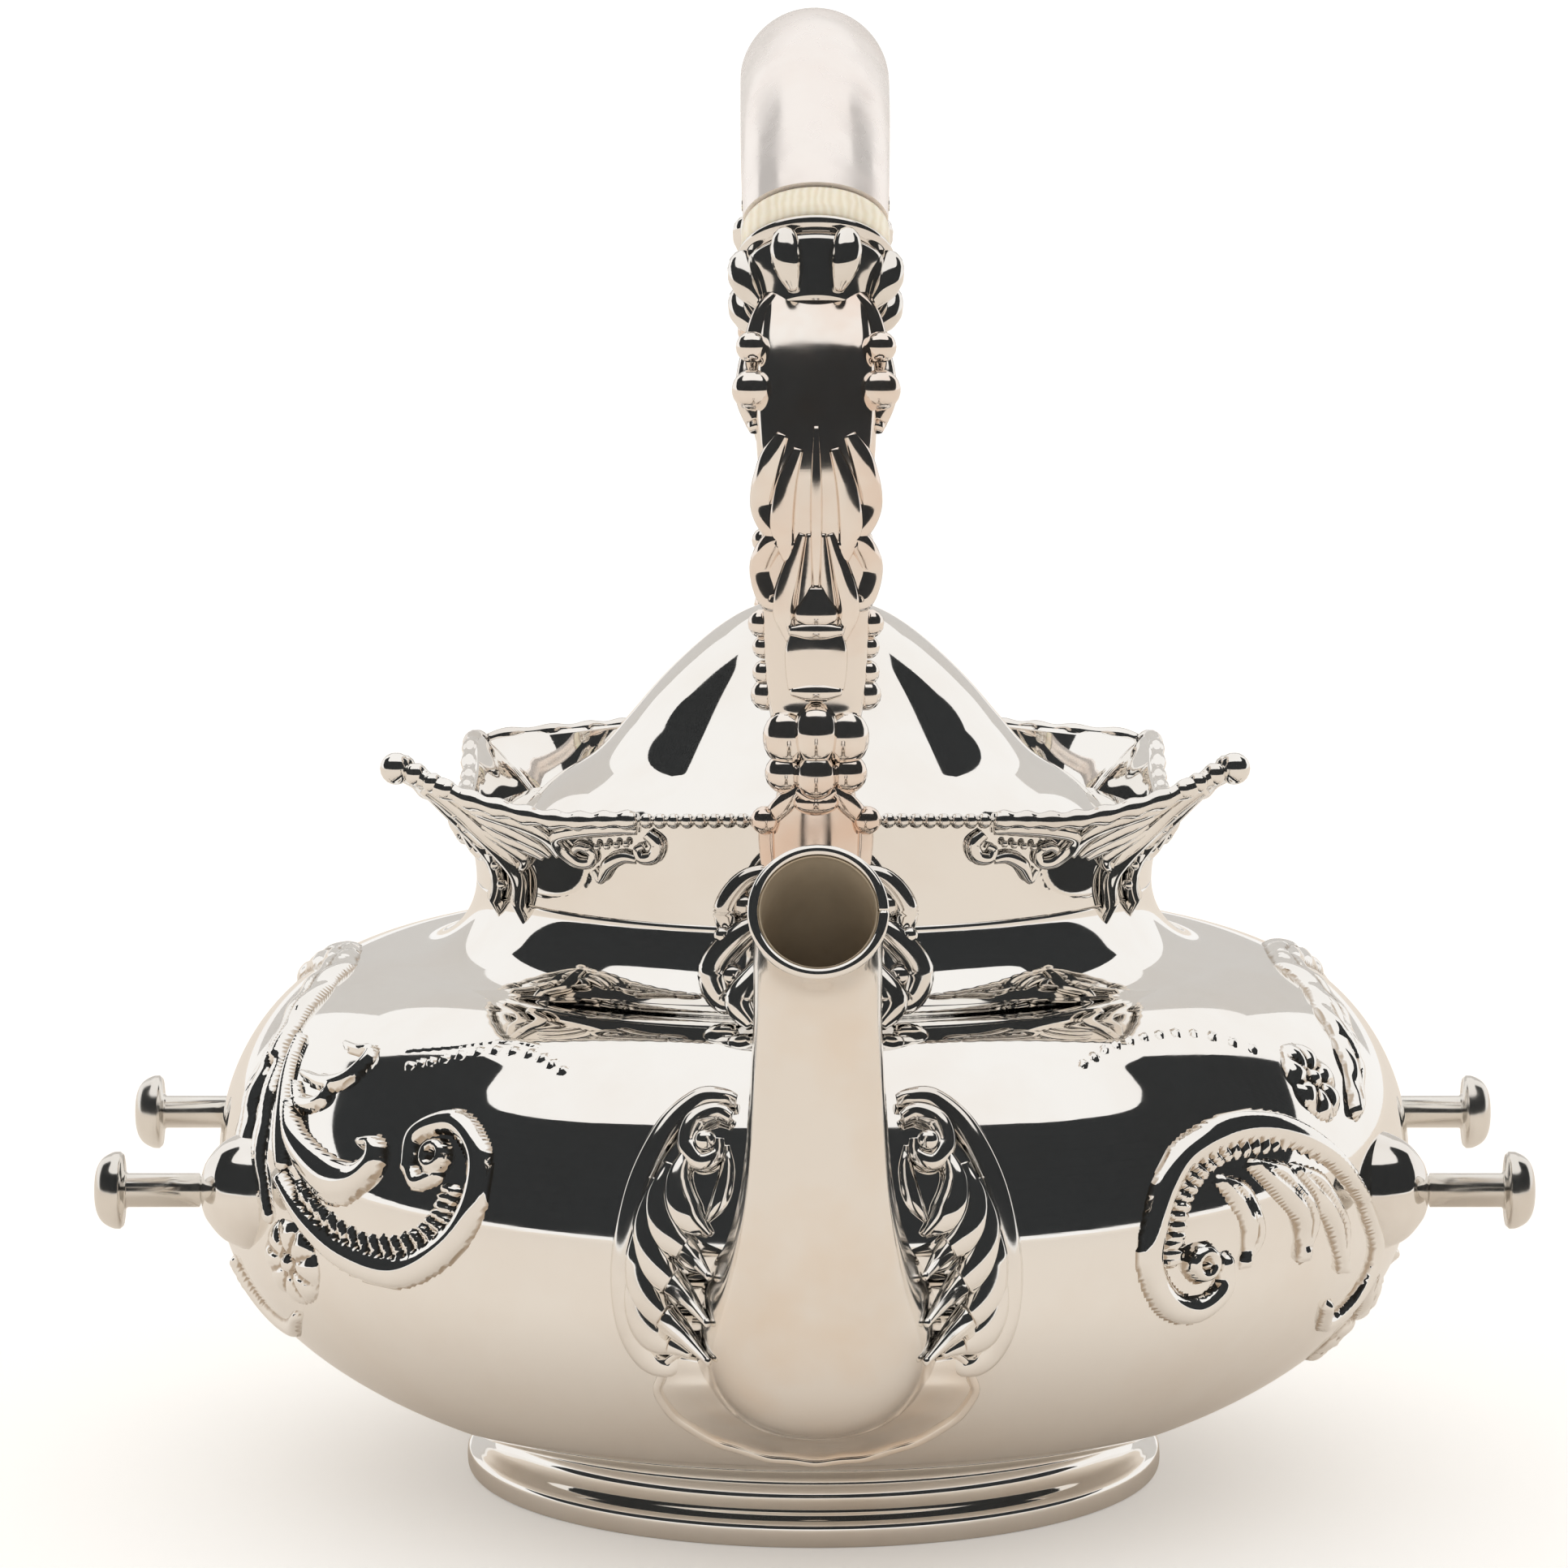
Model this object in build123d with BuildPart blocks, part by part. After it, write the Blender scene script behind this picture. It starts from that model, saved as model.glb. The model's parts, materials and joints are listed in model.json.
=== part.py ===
from build123d import *
import math
import os

# A tilting tea kettle in silver plate: a squat round body on a low foot, a square-cornered
# collar, a bell-shaped lift-off lid, a fixed bail handle with a split grip, a gooseneck
# spout and four headed pins that hang in a stand.
# +Z is up, the spout points along -Y, the pins lie along X, and Z = 0 is the table.

os.makedirs("parts", exist_ok=True)

# ---- Driving dimensions, in millimetres ----

joint_gap = 0.05              # radial gap of a pinned or pushed-in fit
lid_gap = 0.3                 # gap between the lid and what it rests on or drops into

# Body
body_radius = 95.5
body_wall = 1.4
base_radius = 48.0            # flat bottom inside the foot
base_height = 7.5             # how far that bottom stands above the table
bowl_depth = 44.5             # half height of the bowl's ellipse
barrel_height = 6.0           # straight stretch above the seam
shoulder_width = 29.5         # quarter ellipse from the barrel to the flat of the shoulder
shoulder_rise = 32.5
neck_arc = 12.0               # radius of the curve between the shoulder and the neck
seam_lap_height = 5.0
seam_lap_wall = 1.2

# Foot
foot_spread = 8.0             # how far its edge stands out from the flat bottom
foot_step = 3.0               # how far its top stands out from the flat bottom
foot_rim_width = 3.0
foot_edge_height = 4.0
foot_recess_depth = 4.0       # upright inner wall that drops over a trivet's ring
foot_overlap = 2.0            # how far it climbs past the flat bottom

# Collar
collar_height = 16.5          # from the top of the neck arc to the front edge
collar_wall = 1.6
front_corner_flare = (4.5, -18.5)   # X and distance forward of the corners, from the neck's radius
rear_corner_flare = (0.0, -13.0)
collar_front_flare = -1.0     # middle of each side, from the neck's radius
collar_side_flare = 1.5
collar_rear_flare = -1.5
curl_rise_front = 5.0         # how far the corner curls stand above the collar's edge
curl_rise_rear = 0.5
curl_radius = 3.6
curl_offset = 1.2             # how far each curl stands out from the corner's point
curl_drop = 2.5               # how far its stem reaches below the collar's edge

# Lid
seat_drop = 7.5               # from the collar's edge down to the ledge that the lid rests on
seat_thickness = 2.0
seat_overlap = 5.5            # how far the lid's rim reaches over the ledge
lid_side_gap = 1.4            # between the lid's edge and the nearest side of the collar
lid_rim_thickness = 1.6
lid_rim_width = 3.0           # flat left outside the dome
lid_rise = 34.0               # from the rim to the top of the dome
dome_wall = 1.3
bezel_depth = 7.0
bezel_wall = 1.2
finial_radius = 7.5
finial_disc_height = 2.4
finial_knob_height = 11.0
stud_radius = 1.5
nut_radius = 4.0
nut_height = 3.0

# Handle
arm_stand_off = 8.5           # centre line of the upright arms, out from the neck
arm_width = 18.0
arm_depth = 8.0
arm_bend_drop = 74.5          # from the top of the grip down to where the arms start to bend
mount_width = 30.0
mount_spread = 11.5           # how far the mount's leaf reaches out past the arm's centre line
mount_height = 15.5           # how far it climbs above the shoulder
mount_sink = 4.0
grip_top = 234.5
grip_radius = 11.75
grip_wall = 1.6
grip_inset = 22.5             # how far the grip's ends lie inside the arms' centre lines
grip_sweep = 53.1             # half of the grip's arc, in degrees
insulator_thickness = 6.0
insulator_radius = 11.25
spigot_gap = 0.6              # lets the straight spigot into the curved grip
spigot_length = 7.0
socket_length = 12.0
socket_end_radius = 10.8
socket_floor = 3.0
pin_radius = 1.1

# Spout
spout_wall = 1.3
spout_root_drop = 8.0         # middle of the root, below the seam
# Distance out from the body's side, height above the root, upward slope and radius
spout_line = [(-11.5, 0, 0, 20), (5.5, 2, 22, 17.5), (16.5, 12, 60, 13), (21, 26, 84, 9.8),
              (21.5, 44, 88, 9), (23.5, 62, 68, 9), (31.5, 72, 26, 9.2)]
lip_width = 0.9
lip_length = 2.4
cheek_thickness = 3.0
# X and height above the spout's root, along the outer edge of a leaf
cheek_edge = [(13, 29), (24, 21), (30.5, 6), (30, -7), (24.5, -20), (14, -28)]
strainer_wall = 1.0
strainer_lap = 2.0            # how far the strainer reaches past the hole it covers
strainer_hole_radius = 1.6
strainer_spacing = 5.5
spout_hole_radius = 15.0

# Hanging pins
pin_y = 32.4
pin_rise = 5.5                # above the seam
boss_radius = 9.5
boss_sink = 3.3               # how far the boss's centre lies inside the body's side
trunnion_radius = 2.65
trunnion_length = 12.0        # from the boss to the head
head_radius = 6.05
head_thickness = 4.6
shank_radius = 2.0
shank_length = 4.0

# ---- Places worked out from the dimensions ----

seam_height = base_height + bowl_depth * math.sqrt(1 - (base_radius / body_radius) ** 2)
barrel_top = seam_height + barrel_height
shoulder_top = barrel_top + shoulder_rise
shoulder_inner = body_radius - shoulder_width
neck_radius = shoulder_inner - neck_arc
neck_top = shoulder_top + neck_arc
collar_top = neck_top + collar_height
front_corner = (neck_radius + front_corner_flare[0], neck_radius + front_corner_flare[1])
rear_corner = (neck_radius + rear_corner_flare[0], neck_radius + rear_corner_flare[1])
collar_front = neck_radius + collar_front_flare
collar_side = neck_radius + collar_side_flare
collar_rear = neck_radius + collar_rear_flare
foot_inner = base_radius + foot_spread - foot_rim_width
spout_root_z = seam_height - spout_root_drop
strainer_radius = spout_hole_radius + strainer_lap
arm_y = neck_radius + arm_stand_off
mount_top = shoulder_top + mount_height
mount_bottom = shoulder_top - mount_sink
pin_z = seam_height + pin_rise
boss_x = math.sqrt(body_radius ** 2 - pin_y ** 2) - boss_sink
boss_top = boss_x + boss_radius
trunnion_reach = boss_top + trunnion_length


def bowl_face(inset):
    """Right half of the lower body, from the axis to the seam, moved in by the inset."""
    edge = body_radius - inset
    depth = bowl_depth - inset
    floor_r = base_radius - inset
    start = -math.degrees(math.acos(floor_r / edge))
    floor_z = seam_height + depth * math.sin(math.radians(start))
    with BuildLine() as outline:
        Polyline((edge, seam_height), (0, seam_height), (0, floor_z), (floor_r, floor_z))
        EllipticalCenterArc((0, seam_height), edge, depth, start_angle=start, arc_size=-start)
    make_face(outline.edges())


def shoulder_face(inset):
    """Right half of the upper body, from the seam to the top of the neck."""
    edge = body_radius - inset
    with BuildLine() as outline:
        Polyline((neck_radius - inset, neck_top), (0, neck_top), (0, seam_height),
                 (edge, seam_height), (edge, barrel_top))
        EllipticalCenterArc((shoulder_inner, barrel_top), shoulder_width - inset,
                            shoulder_rise - inset, start_angle=0, arc_size=90)
        CenterArc((shoulder_inner, neck_top), neck_arc + inset, 270, -90)
    make_face(outline.edges())


def collar_face(inset):
    """The collar's edge seen from above: four bowed sides between drawn-out corners."""
    (fx, fy), (rx, ry) = front_corner, rear_corner
    with BuildLine() as outline:
        ThreePointArc((-fx, -fy), (0, -collar_front), (fx, -fy))
        ThreePointArc((fx, -fy), (collar_side, 0), (rx, ry))
        ThreePointArc((rx, ry), (0, collar_rear), (-rx, ry))
        ThreePointArc((-rx, ry), (-collar_side, 0), (-fx, -fy))
    make_face(outline.edges())
    if inset:
        offset(amount=-inset, kind=Kind.INTERSECTION, mode=Mode.REPLACE)


def spout_plane(out, up, slope):
    """Plane square to the spout at one of its places."""
    tilt = math.radians(slope)
    return Plane(origin=(0, -body_radius - out, spout_root_z + up), x_dir=(1, 0, 0),
                 z_dir=(0, -math.cos(tilt), math.sin(tilt)))


def spout_loft(inset):
    """Loft along the gooseneck, from inside the body to the mouth."""
    rings = []
    for out, up, slope, radius in spout_line:
        with BuildSketch(spout_plane(out, up, slope)) as ring:
            Circle(radius - inset)
        rings.append(ring.sketch.face())
    loft(sections=rings)


def mirrored(part):
    """The same piece on the other side of the XZ plane, front to rear."""
    with BuildPart() as copy:
        add(mirror(part.part, about=Plane.XZ, mode=Mode.PRIVATE))
    return copy


def save(part, name):
    part.part.label = name
    export_step(part.part, f"parts/{name}.step")


# ---- Body ----

with BuildPart() as body_solid:                    # the outside of the body, used for trimming
    with BuildSketch(Plane.XZ):
        bowl_face(0)
        shoulder_face(0)
    revolve(axis=Axis.Z)

with BuildPart() as spout_hole:                    # opening in the wall behind the spout
    with BuildSketch(Plane.XZ.offset(base_radius)):
        with Locations((0, spout_root_z)):
            Circle(spout_hole_radius)
    extrude(amount=body_radius)

with BuildPart() as strainer_room:
    with BuildSketch(Plane.XZ.offset(base_radius)):
        with Locations((0, spout_root_z)):
            Circle(strainer_radius)
    extrude(amount=body_radius)

with BuildPart() as body_bowl:
    with BuildSketch(Plane.XZ):
        bowl_face(0)
    revolve(axis=Axis.Z)
    with BuildSketch(Plane.XZ):
        bowl_face(body_wall)
    revolve(axis=Axis.Z, mode=Mode.SUBTRACT)
    add(spout_hole.part, mode=Mode.SUBTRACT)
save(body_bowl, "body_bowl")

with BuildPart() as body_shoulder:
    with BuildSketch(Plane.XZ):
        shoulder_face(0)
    revolve(axis=Axis.Z)
    with BuildSketch(Plane.XZ):
        shoulder_face(body_wall)
    revolve(axis=Axis.Z, mode=Mode.SUBTRACT)
    add(spout_hole.part, mode=Mode.SUBTRACT)
save(body_shoulder, "body_shoulder")

with BuildPart() as seam_band:                     # solder lap inside the seam
    with Locations((0, 0, seam_height)):
        Cylinder(body_radius - body_wall, seam_lap_height)
        Cylinder(body_radius - body_wall - seam_lap_wall, seam_lap_height, mode=Mode.SUBTRACT)
    with BuildSketch(Plane.XZ):
        bowl_face(body_wall)
        shoulder_face(body_wall)
    revolve(axis=Axis.Z, mode=Mode.INTERSECT)
    add(strainer_room.part, mode=Mode.SUBTRACT)
save(seam_band, "seam_band")

with BuildPart() as foot_ring:
    with BuildSketch(Plane.XZ):
        with BuildLine():
            Polyline((foot_inner, 0), (foot_inner + foot_rim_width, 0),
                     (foot_inner + foot_rim_width, foot_edge_height))
            Spline((foot_inner + foot_rim_width, foot_edge_height),
                   (base_radius + foot_step, base_height + foot_overlap),
                   tangents=[(-0.9, 0.6), (-0.5, 0.8)])
            Polyline((base_radius + foot_step, base_height + foot_overlap),
                     (base_radius - foot_step, base_height + foot_overlap),
                     (base_radius - foot_step, base_height - foot_rim_width / 3),
                     (foot_inner, foot_recess_depth), (foot_inner, 0))
        make_face()
    revolve(axis=Axis.Z)
    add(body_solid.part, mode=Mode.SUBTRACT)
save(foot_ring, "foot_ring")

# ---- Collar, its corner curls and the lid's seat ----

with BuildPart() as collar:
    with BuildSketch(Plane.XY.offset(neck_top)):
        Circle(neck_radius)
    with BuildSketch(Plane.XY.offset(collar_top)):
        collar_face(0)
    loft()
    with BuildSketch(Plane.XY.offset(neck_top)):
        Circle(neck_radius - body_wall)
    with BuildSketch(Plane.XY.offset(collar_top)):
        collar_face(collar_wall)
    loft(mode=Mode.SUBTRACT)
save(collar, "collar")

with BuildPart() as collar_solid:
    with BuildSketch(Plane.XY.offset(neck_top)):
        Circle(neck_radius)
    with BuildSketch(Plane.XY.offset(collar_top)):
        collar_face(0)
    loft()

for side, sx in (("left", -1), ("right", 1)):
    for end, sy, (cx, cy), rise in (("front", -1, front_corner, curl_rise_front),
                                    ("rear", 1, rear_corner, curl_rise_rear)):
        away = math.hypot(cx, cy)
        out = Vector(sx * cx / away, sy * cy / away, 0)
        place = out * (away + curl_offset)
        with BuildPart() as curl:
            with Locations(place + Vector(0, 0, collar_top + rise)):
                Sphere(curl_radius)
            with Locations(place + Vector(0, 0, collar_top - curl_drop)):
                Cone(curl_radius * 0.4, curl_radius * 0.8, curl_drop + rise,
                     align=(Align.CENTER, Align.CENTER, Align.MIN))
        save(curl, f"corner_curl_{end}_{side}")

seat_height = collar_top - seat_drop
lid_radius = min(collar_front, collar_side, collar_rear) - collar_wall - lid_side_gap
seat_bore_radius = lid_radius - seat_overlap

with BuildPart() as lid_seat:
    with Locations((0, 0, seat_height)):
        Cylinder(front_corner[0], seat_thickness, align=(Align.CENTER, Align.CENTER, Align.MAX))
        Cylinder(seat_bore_radius, seat_thickness, align=(Align.CENTER, Align.CENTER, Align.MAX),
                 mode=Mode.SUBTRACT)
    add(collar_solid.part, mode=Mode.INTERSECT)
    add(collar.part, mode=Mode.SUBTRACT)
save(lid_seat, "lid_seat")

# ---- Lid ----

rim_bottom = seat_height + lid_gap
rim_top = rim_bottom + lid_rim_thickness
dome_top = rim_top + lid_rise
dome_foot = lid_radius - lid_rim_width
bezel_radius = seat_bore_radius - lid_gap


def dome_face(drop):
    """Half of the bell curve, lowered by the drop."""
    with BuildLine() as outline:
        Spline((dome_foot - drop, rim_top), (dome_foot * 0.72, rim_top + lid_rise * 0.27 - drop),
               (dome_foot * 0.42, rim_top + lid_rise * 0.72 - drop), (0, dome_top - drop),
               tangents=[(-1, 0.25), (-1, 0)])
        Polyline((0, dome_top - drop), (0, rim_top), (dome_foot - drop, rim_top))
    make_face(outline.edges())


with BuildPart() as dome_solid:
    with BuildSketch(Plane.XZ):
        dome_face(0)
    revolve(axis=Axis.Z)

with BuildPart() as lid_dome:
    with BuildSketch(Plane.XZ):
        dome_face(0)
        with Locations((0, dome_top)):
            Rectangle(2 * (stud_radius + joint_gap), 2 * lid_rise, mode=Mode.SUBTRACT)
    revolve(axis=Axis.Z)
    with BuildSketch(Plane.XZ):
        dome_face(dome_wall)
    revolve(axis=Axis.Z, mode=Mode.SUBTRACT)
save(lid_dome, "lid_dome")

with BuildPart() as lid_rim:
    with Locations((0, 0, rim_bottom)):
        Cylinder(lid_radius, lid_rim_thickness, align=(Align.CENTER, Align.CENTER, Align.MIN))
        Cylinder(bezel_radius - bezel_wall, lid_rim_thickness,
                 align=(Align.CENTER, Align.CENTER, Align.MIN), mode=Mode.SUBTRACT)
    fillet(lid_rim.edges().group_by(Axis.Z)[-1].sort_by(SortBy.RADIUS)[-1], lid_rim_thickness * 0.6)
save(lid_rim, "lid_rim")

with BuildPart() as lid_bezel:
    with Locations((0, 0, rim_bottom)):
        Cylinder(bezel_radius, bezel_depth, align=(Align.CENTER, Align.CENTER, Align.MAX))
        Cylinder(bezel_radius - bezel_wall, bezel_depth,
                 align=(Align.CENTER, Align.CENTER, Align.MAX), mode=Mode.SUBTRACT)
save(lid_bezel, "lid_bezel")

base_bottom = dome_top - 2
disc_bottom = dome_top + finial_disc_height
knob_bottom = disc_bottom + finial_disc_height

with BuildPart() as finial_base:
    with BuildSketch(Plane.XZ):
        with Locations(((finial_radius + stud_radius + joint_gap) / 2, (base_bottom + disc_bottom) / 2)):
            Rectangle(finial_radius - stud_radius - joint_gap, disc_bottom - base_bottom)
    revolve(axis=Axis.Z)
    add(dome_solid.part, mode=Mode.SUBTRACT)
save(finial_base, "finial_base")

with BuildPart() as finial_insulator:
    with BuildSketch(Plane.XZ):
        with Locations(((finial_radius - 1 + stud_radius + joint_gap) / 2,
                        disc_bottom + finial_disc_height / 2)):
            Rectangle(finial_radius - 1 - stud_radius - joint_gap, finial_disc_height)
    revolve(axis=Axis.Z)
save(finial_insulator, "finial_insulator")

stud_top = knob_bottom + finial_knob_height / 2
nut_top = dome_top - dome_wall - 0.6
stud_bottom = nut_top - nut_height - 1

with BuildPart() as finial_knob:
    with BuildSketch(Plane.XZ):
        with BuildLine():
            Spline((0, knob_bottom + finial_knob_height), (finial_radius, knob_bottom + 6),
                   (3.2, knob_bottom), tangents=[(1, 0), (-0.6, -0.8)])
            Polyline((3.2, knob_bottom), (stud_radius, knob_bottom), (stud_radius, stud_top),
                     (0, stud_top), (0, knob_bottom + finial_knob_height))
        make_face()
    revolve(axis=Axis.Z)
save(finial_knob, "finial_knob")

with BuildPart() as finial_stud:
    with Locations((0, 0, stud_bottom)):
        Cylinder(stud_radius, stud_top - stud_bottom, align=(Align.CENTER, Align.CENTER, Align.MIN))
save(finial_stud, "finial_stud")

with BuildPart() as finial_nut:
    with BuildSketch(Plane.XY.offset(nut_top - nut_height)):
        RegularPolygon(nut_radius, 6)
        Circle(stud_radius, mode=Mode.SUBTRACT)
    extrude(amount=nut_height)
save(finial_nut, "finial_nut")

# ---- Spout ----

with BuildPart() as spout_solid:
    spout_loft(0)

with BuildPart() as spout_bore:
    spout_loft(spout_wall)

with BuildPart() as spout:
    add(spout_solid.part)
    add(spout_bore.part, mode=Mode.SUBTRACT)
    add(body_solid.part, mode=Mode.SUBTRACT)
save(spout, "spout")

mouth_radius = spout_line[-1][3]
mouth_plane = spout_plane(*spout_line[-1][:3])

with BuildPart() as spout_lip:
    with BuildSketch(mouth_plane):
        Circle(mouth_radius + lip_width)
        Circle(mouth_radius - spout_wall, mode=Mode.SUBTRACT)
    extrude(amount=lip_length)
    fillet(spout_lip.edges().filter_by(GeomType.CIRCLE).sort_by(SortBy.RADIUS)[-2:], 0.8)
save(spout_lip, "spout_lip")

with BuildPart() as strainer:
    with BuildSketch(Plane.XZ):
        bowl_face(body_wall)
        shoulder_face(body_wall)
    revolve(axis=Axis.Z)
    with BuildSketch(Plane.XZ):
        bowl_face(body_wall + strainer_wall)
        shoulder_face(body_wall + strainer_wall)
    revolve(axis=Axis.Z, mode=Mode.SUBTRACT)
    add(strainer_room.part, mode=Mode.INTERSECT)
    with BuildSketch(Plane.XZ.offset(base_radius)):
        with Locations((0, spout_root_z)):
            with HexLocations(strainer_spacing / 2, 5, 5):
                Circle(strainer_hole_radius)
    extrude(amount=body_radius, mode=Mode.SUBTRACT)
save(strainer, "strainer")

for side, sx in (("left", -1), ("right", 1)):
    with BuildPart() as cheek:
        with BuildSketch(Plane.XZ):
            bowl_face(-cheek_thickness)
            shoulder_face(-cheek_thickness)
        revolve(axis=Axis.Z)
        with BuildSketch(Plane.XZ.offset(base_radius)):
            with BuildLine():
                edge = [(sx * x, spout_root_z + up) for x, up in cheek_edge]
                Spline(edge)
                Polyline(edge[-1], (0, edge[-1][1]), (0, edge[0][1]), edge[0])
            make_face()
        extrude(amount=body_radius, mode=Mode.INTERSECT)
        add(body_solid.part, mode=Mode.SUBTRACT)
        add(spout_solid.part, mode=Mode.SUBTRACT)
    save(cheek, f"spout_cheek_{side}")

# ---- Handle ----

grip_angle = math.radians(grip_sweep)
grip_half_span = arm_y - grip_inset
grip_arc_radius = grip_half_span / math.sin(grip_angle)
grip_centre_z = grip_top - grip_radius - grip_arc_radius
arm_bend_z = grip_top - arm_bend_drop
grip_bore = grip_radius - grip_wall
spigot_radius = grip_bore - spigot_gap
along = Vector(0, -math.cos(grip_angle), -math.sin(grip_angle))     # from the grip's end outwards
grip_end = Vector(0, -grip_half_span, grip_centre_z + grip_arc_radius * math.cos(grip_angle))
end_plane = Plane(origin=grip_end, x_dir=(1, 0, 0), z_dir=along)
socket_start = grip_end + along * insulator_thickness
arm_end = socket_start + along * socket_length
pin_places = [grip_end - along * spigot_length / 2, socket_start + along * spigot_length / 2]

with BuildPart() as insulator_pins:
    for place in pin_places:
        with BuildSketch(Plane(origin=place, x_dir=along, z_dir=(1, 0, 0))):
            Circle(pin_radius)
        extrude(amount=grip_radius - 0.5, both=True)
    mirror(about=Plane.XZ)
save(insulator_pins, "insulator_pins")

with BuildPart() as front_insulator:
    with BuildSketch(end_plane):
        Circle(insulator_radius)
    extrude(amount=insulator_thickness)
    fillet(front_insulator.edges(), 1.5)
    with BuildSketch(end_plane):
        Circle(spigot_radius)
    extrude(amount=insulator_thickness + spigot_length)
    with BuildSketch(end_plane):
        Circle(spigot_radius)
    extrude(amount=-spigot_length)
    add(insulator_pins.part, mode=Mode.SUBTRACT)
save(front_insulator, "front_insulator")
save(mirrored(front_insulator), "rear_insulator")

with BuildPart() as front_socket:
    with BuildSketch(end_plane.offset(insulator_thickness)):
        Circle(grip_radius)
    with BuildSketch(end_plane.offset(insulator_thickness + socket_length)):
        Circle(socket_end_radius)
    loft()
    with BuildSketch(end_plane.offset(insulator_thickness)):
        Circle(spigot_radius + joint_gap)
    extrude(amount=socket_length - socket_floor, mode=Mode.SUBTRACT)
    add(insulator_pins.part, mode=Mode.SUBTRACT)
save(front_socket, "front_socket")
save(mirrored(front_socket), "rear_socket")

with BuildPart() as front_arm:
    with BuildLine():
        Line((0, -arm_y, mount_top), (0, -arm_y, arm_bend_z))
        Spline((0, -arm_y, arm_bend_z), arm_end, tangents=[(0, 0, 1), -along])
    with BuildSketch(Plane.XY.offset(mount_top)):
        with Locations((0, -arm_y)):
            RectangleRounded(arm_width, arm_depth, arm_depth * 0.45)
    sweep()
save(front_arm, "front_arm")
save(mirrored(front_arm), "rear_arm")

with BuildPart() as front_mount:
    with BuildSketch(Plane.YZ):
        with BuildLine():
            Polyline((-arm_y - arm_depth / 2, mount_top), (-neck_radius - collar_wall, mount_top),
                     (-neck_radius, mount_bottom), (-arm_y - mount_spread, mount_bottom))
            Spline((-arm_y - mount_spread, mount_bottom), (-arm_y - arm_depth / 2, mount_top),
                   tangents=[(0.2, 1), (0, 1)])
        make_face()
    extrude(amount=mount_width / 2, both=True)
    add(body_solid.part, mode=Mode.SUBTRACT)
    add(collar_solid.part, mode=Mode.SUBTRACT)
save(front_mount, "front_mount")
save(mirrored(front_mount), "rear_mount")

for name, start, turn in (("grip_upper_shell", 0, 180), ("grip_lower_shell", 180, 180)):
    with BuildPart() as shell:
        with BuildSketch(Plane(origin=grip_end, x_dir=(-1, 0, 0), z_dir=-along)):
            with BuildLine():
                CenterArc((0, 0), grip_radius, start, turn)
                CenterArc((0, 0), grip_bore, start, turn)
                Line((grip_bore, 0), (grip_radius, 0))
                Line((-grip_bore, 0), (-grip_radius, 0))
            make_face()
        revolve(axis=Axis((0, 0, grip_centre_z), (-1, 0, 0)),
                revolution_arc=2 * math.degrees(grip_angle))
        add(insulator_pins.part, mode=Mode.SUBTRACT)
    save(shell, name)

# ---- Hanging pins ----

for side, sx in (("left", -1), ("right", 1)):
    for end, sy in (("front", -1), ("rear", 1)):
        with BuildPart() as trunnion:
            with BuildSketch(Plane.XY):
                with BuildLine():
                    Polyline((boss_top - shank_length, 0), (boss_top - shank_length, shank_radius),
                             (boss_top, shank_radius), (boss_top, trunnion_radius),
                             (trunnion_reach, trunnion_radius), (trunnion_reach, head_radius))
                    EllipticalCenterArc((trunnion_reach, 0), head_thickness, head_radius,
                                        start_angle=0, arc_size=90)
                    Line((trunnion_reach + head_thickness, 0), (boss_top - shank_length, 0))
                make_face()
            revolve(axis=Axis.X)
        with BuildPart() as pin:
            with Locations((0, sy * pin_y, pin_z)):
                add(trunnion.part, rotation=(0, 0, 90 - 90 * sx))
        save(pin, f"trunnion_{end}_{side}")
        with BuildPart() as boss:
            with Locations((sx * boss_x, sy * pin_y, pin_z)):
                Sphere(boss_radius)
            add(body_solid.part, mode=Mode.SUBTRACT)
            add(pin.part, mode=Mode.SUBTRACT)
        save(boss, f"pin_boss_{end}_{side}")
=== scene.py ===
# %% [markdown]
# # A silver tea kettle that hangs in a stand
# The solid model gives every part its place and size. This script dresses it: each plain solid
# is hidden and a worked mesh takes its place, in the same frame, so nothing has to be fitted.
# All the shaping below is done in millimetres and turned into metres when a mesh is made.

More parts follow.
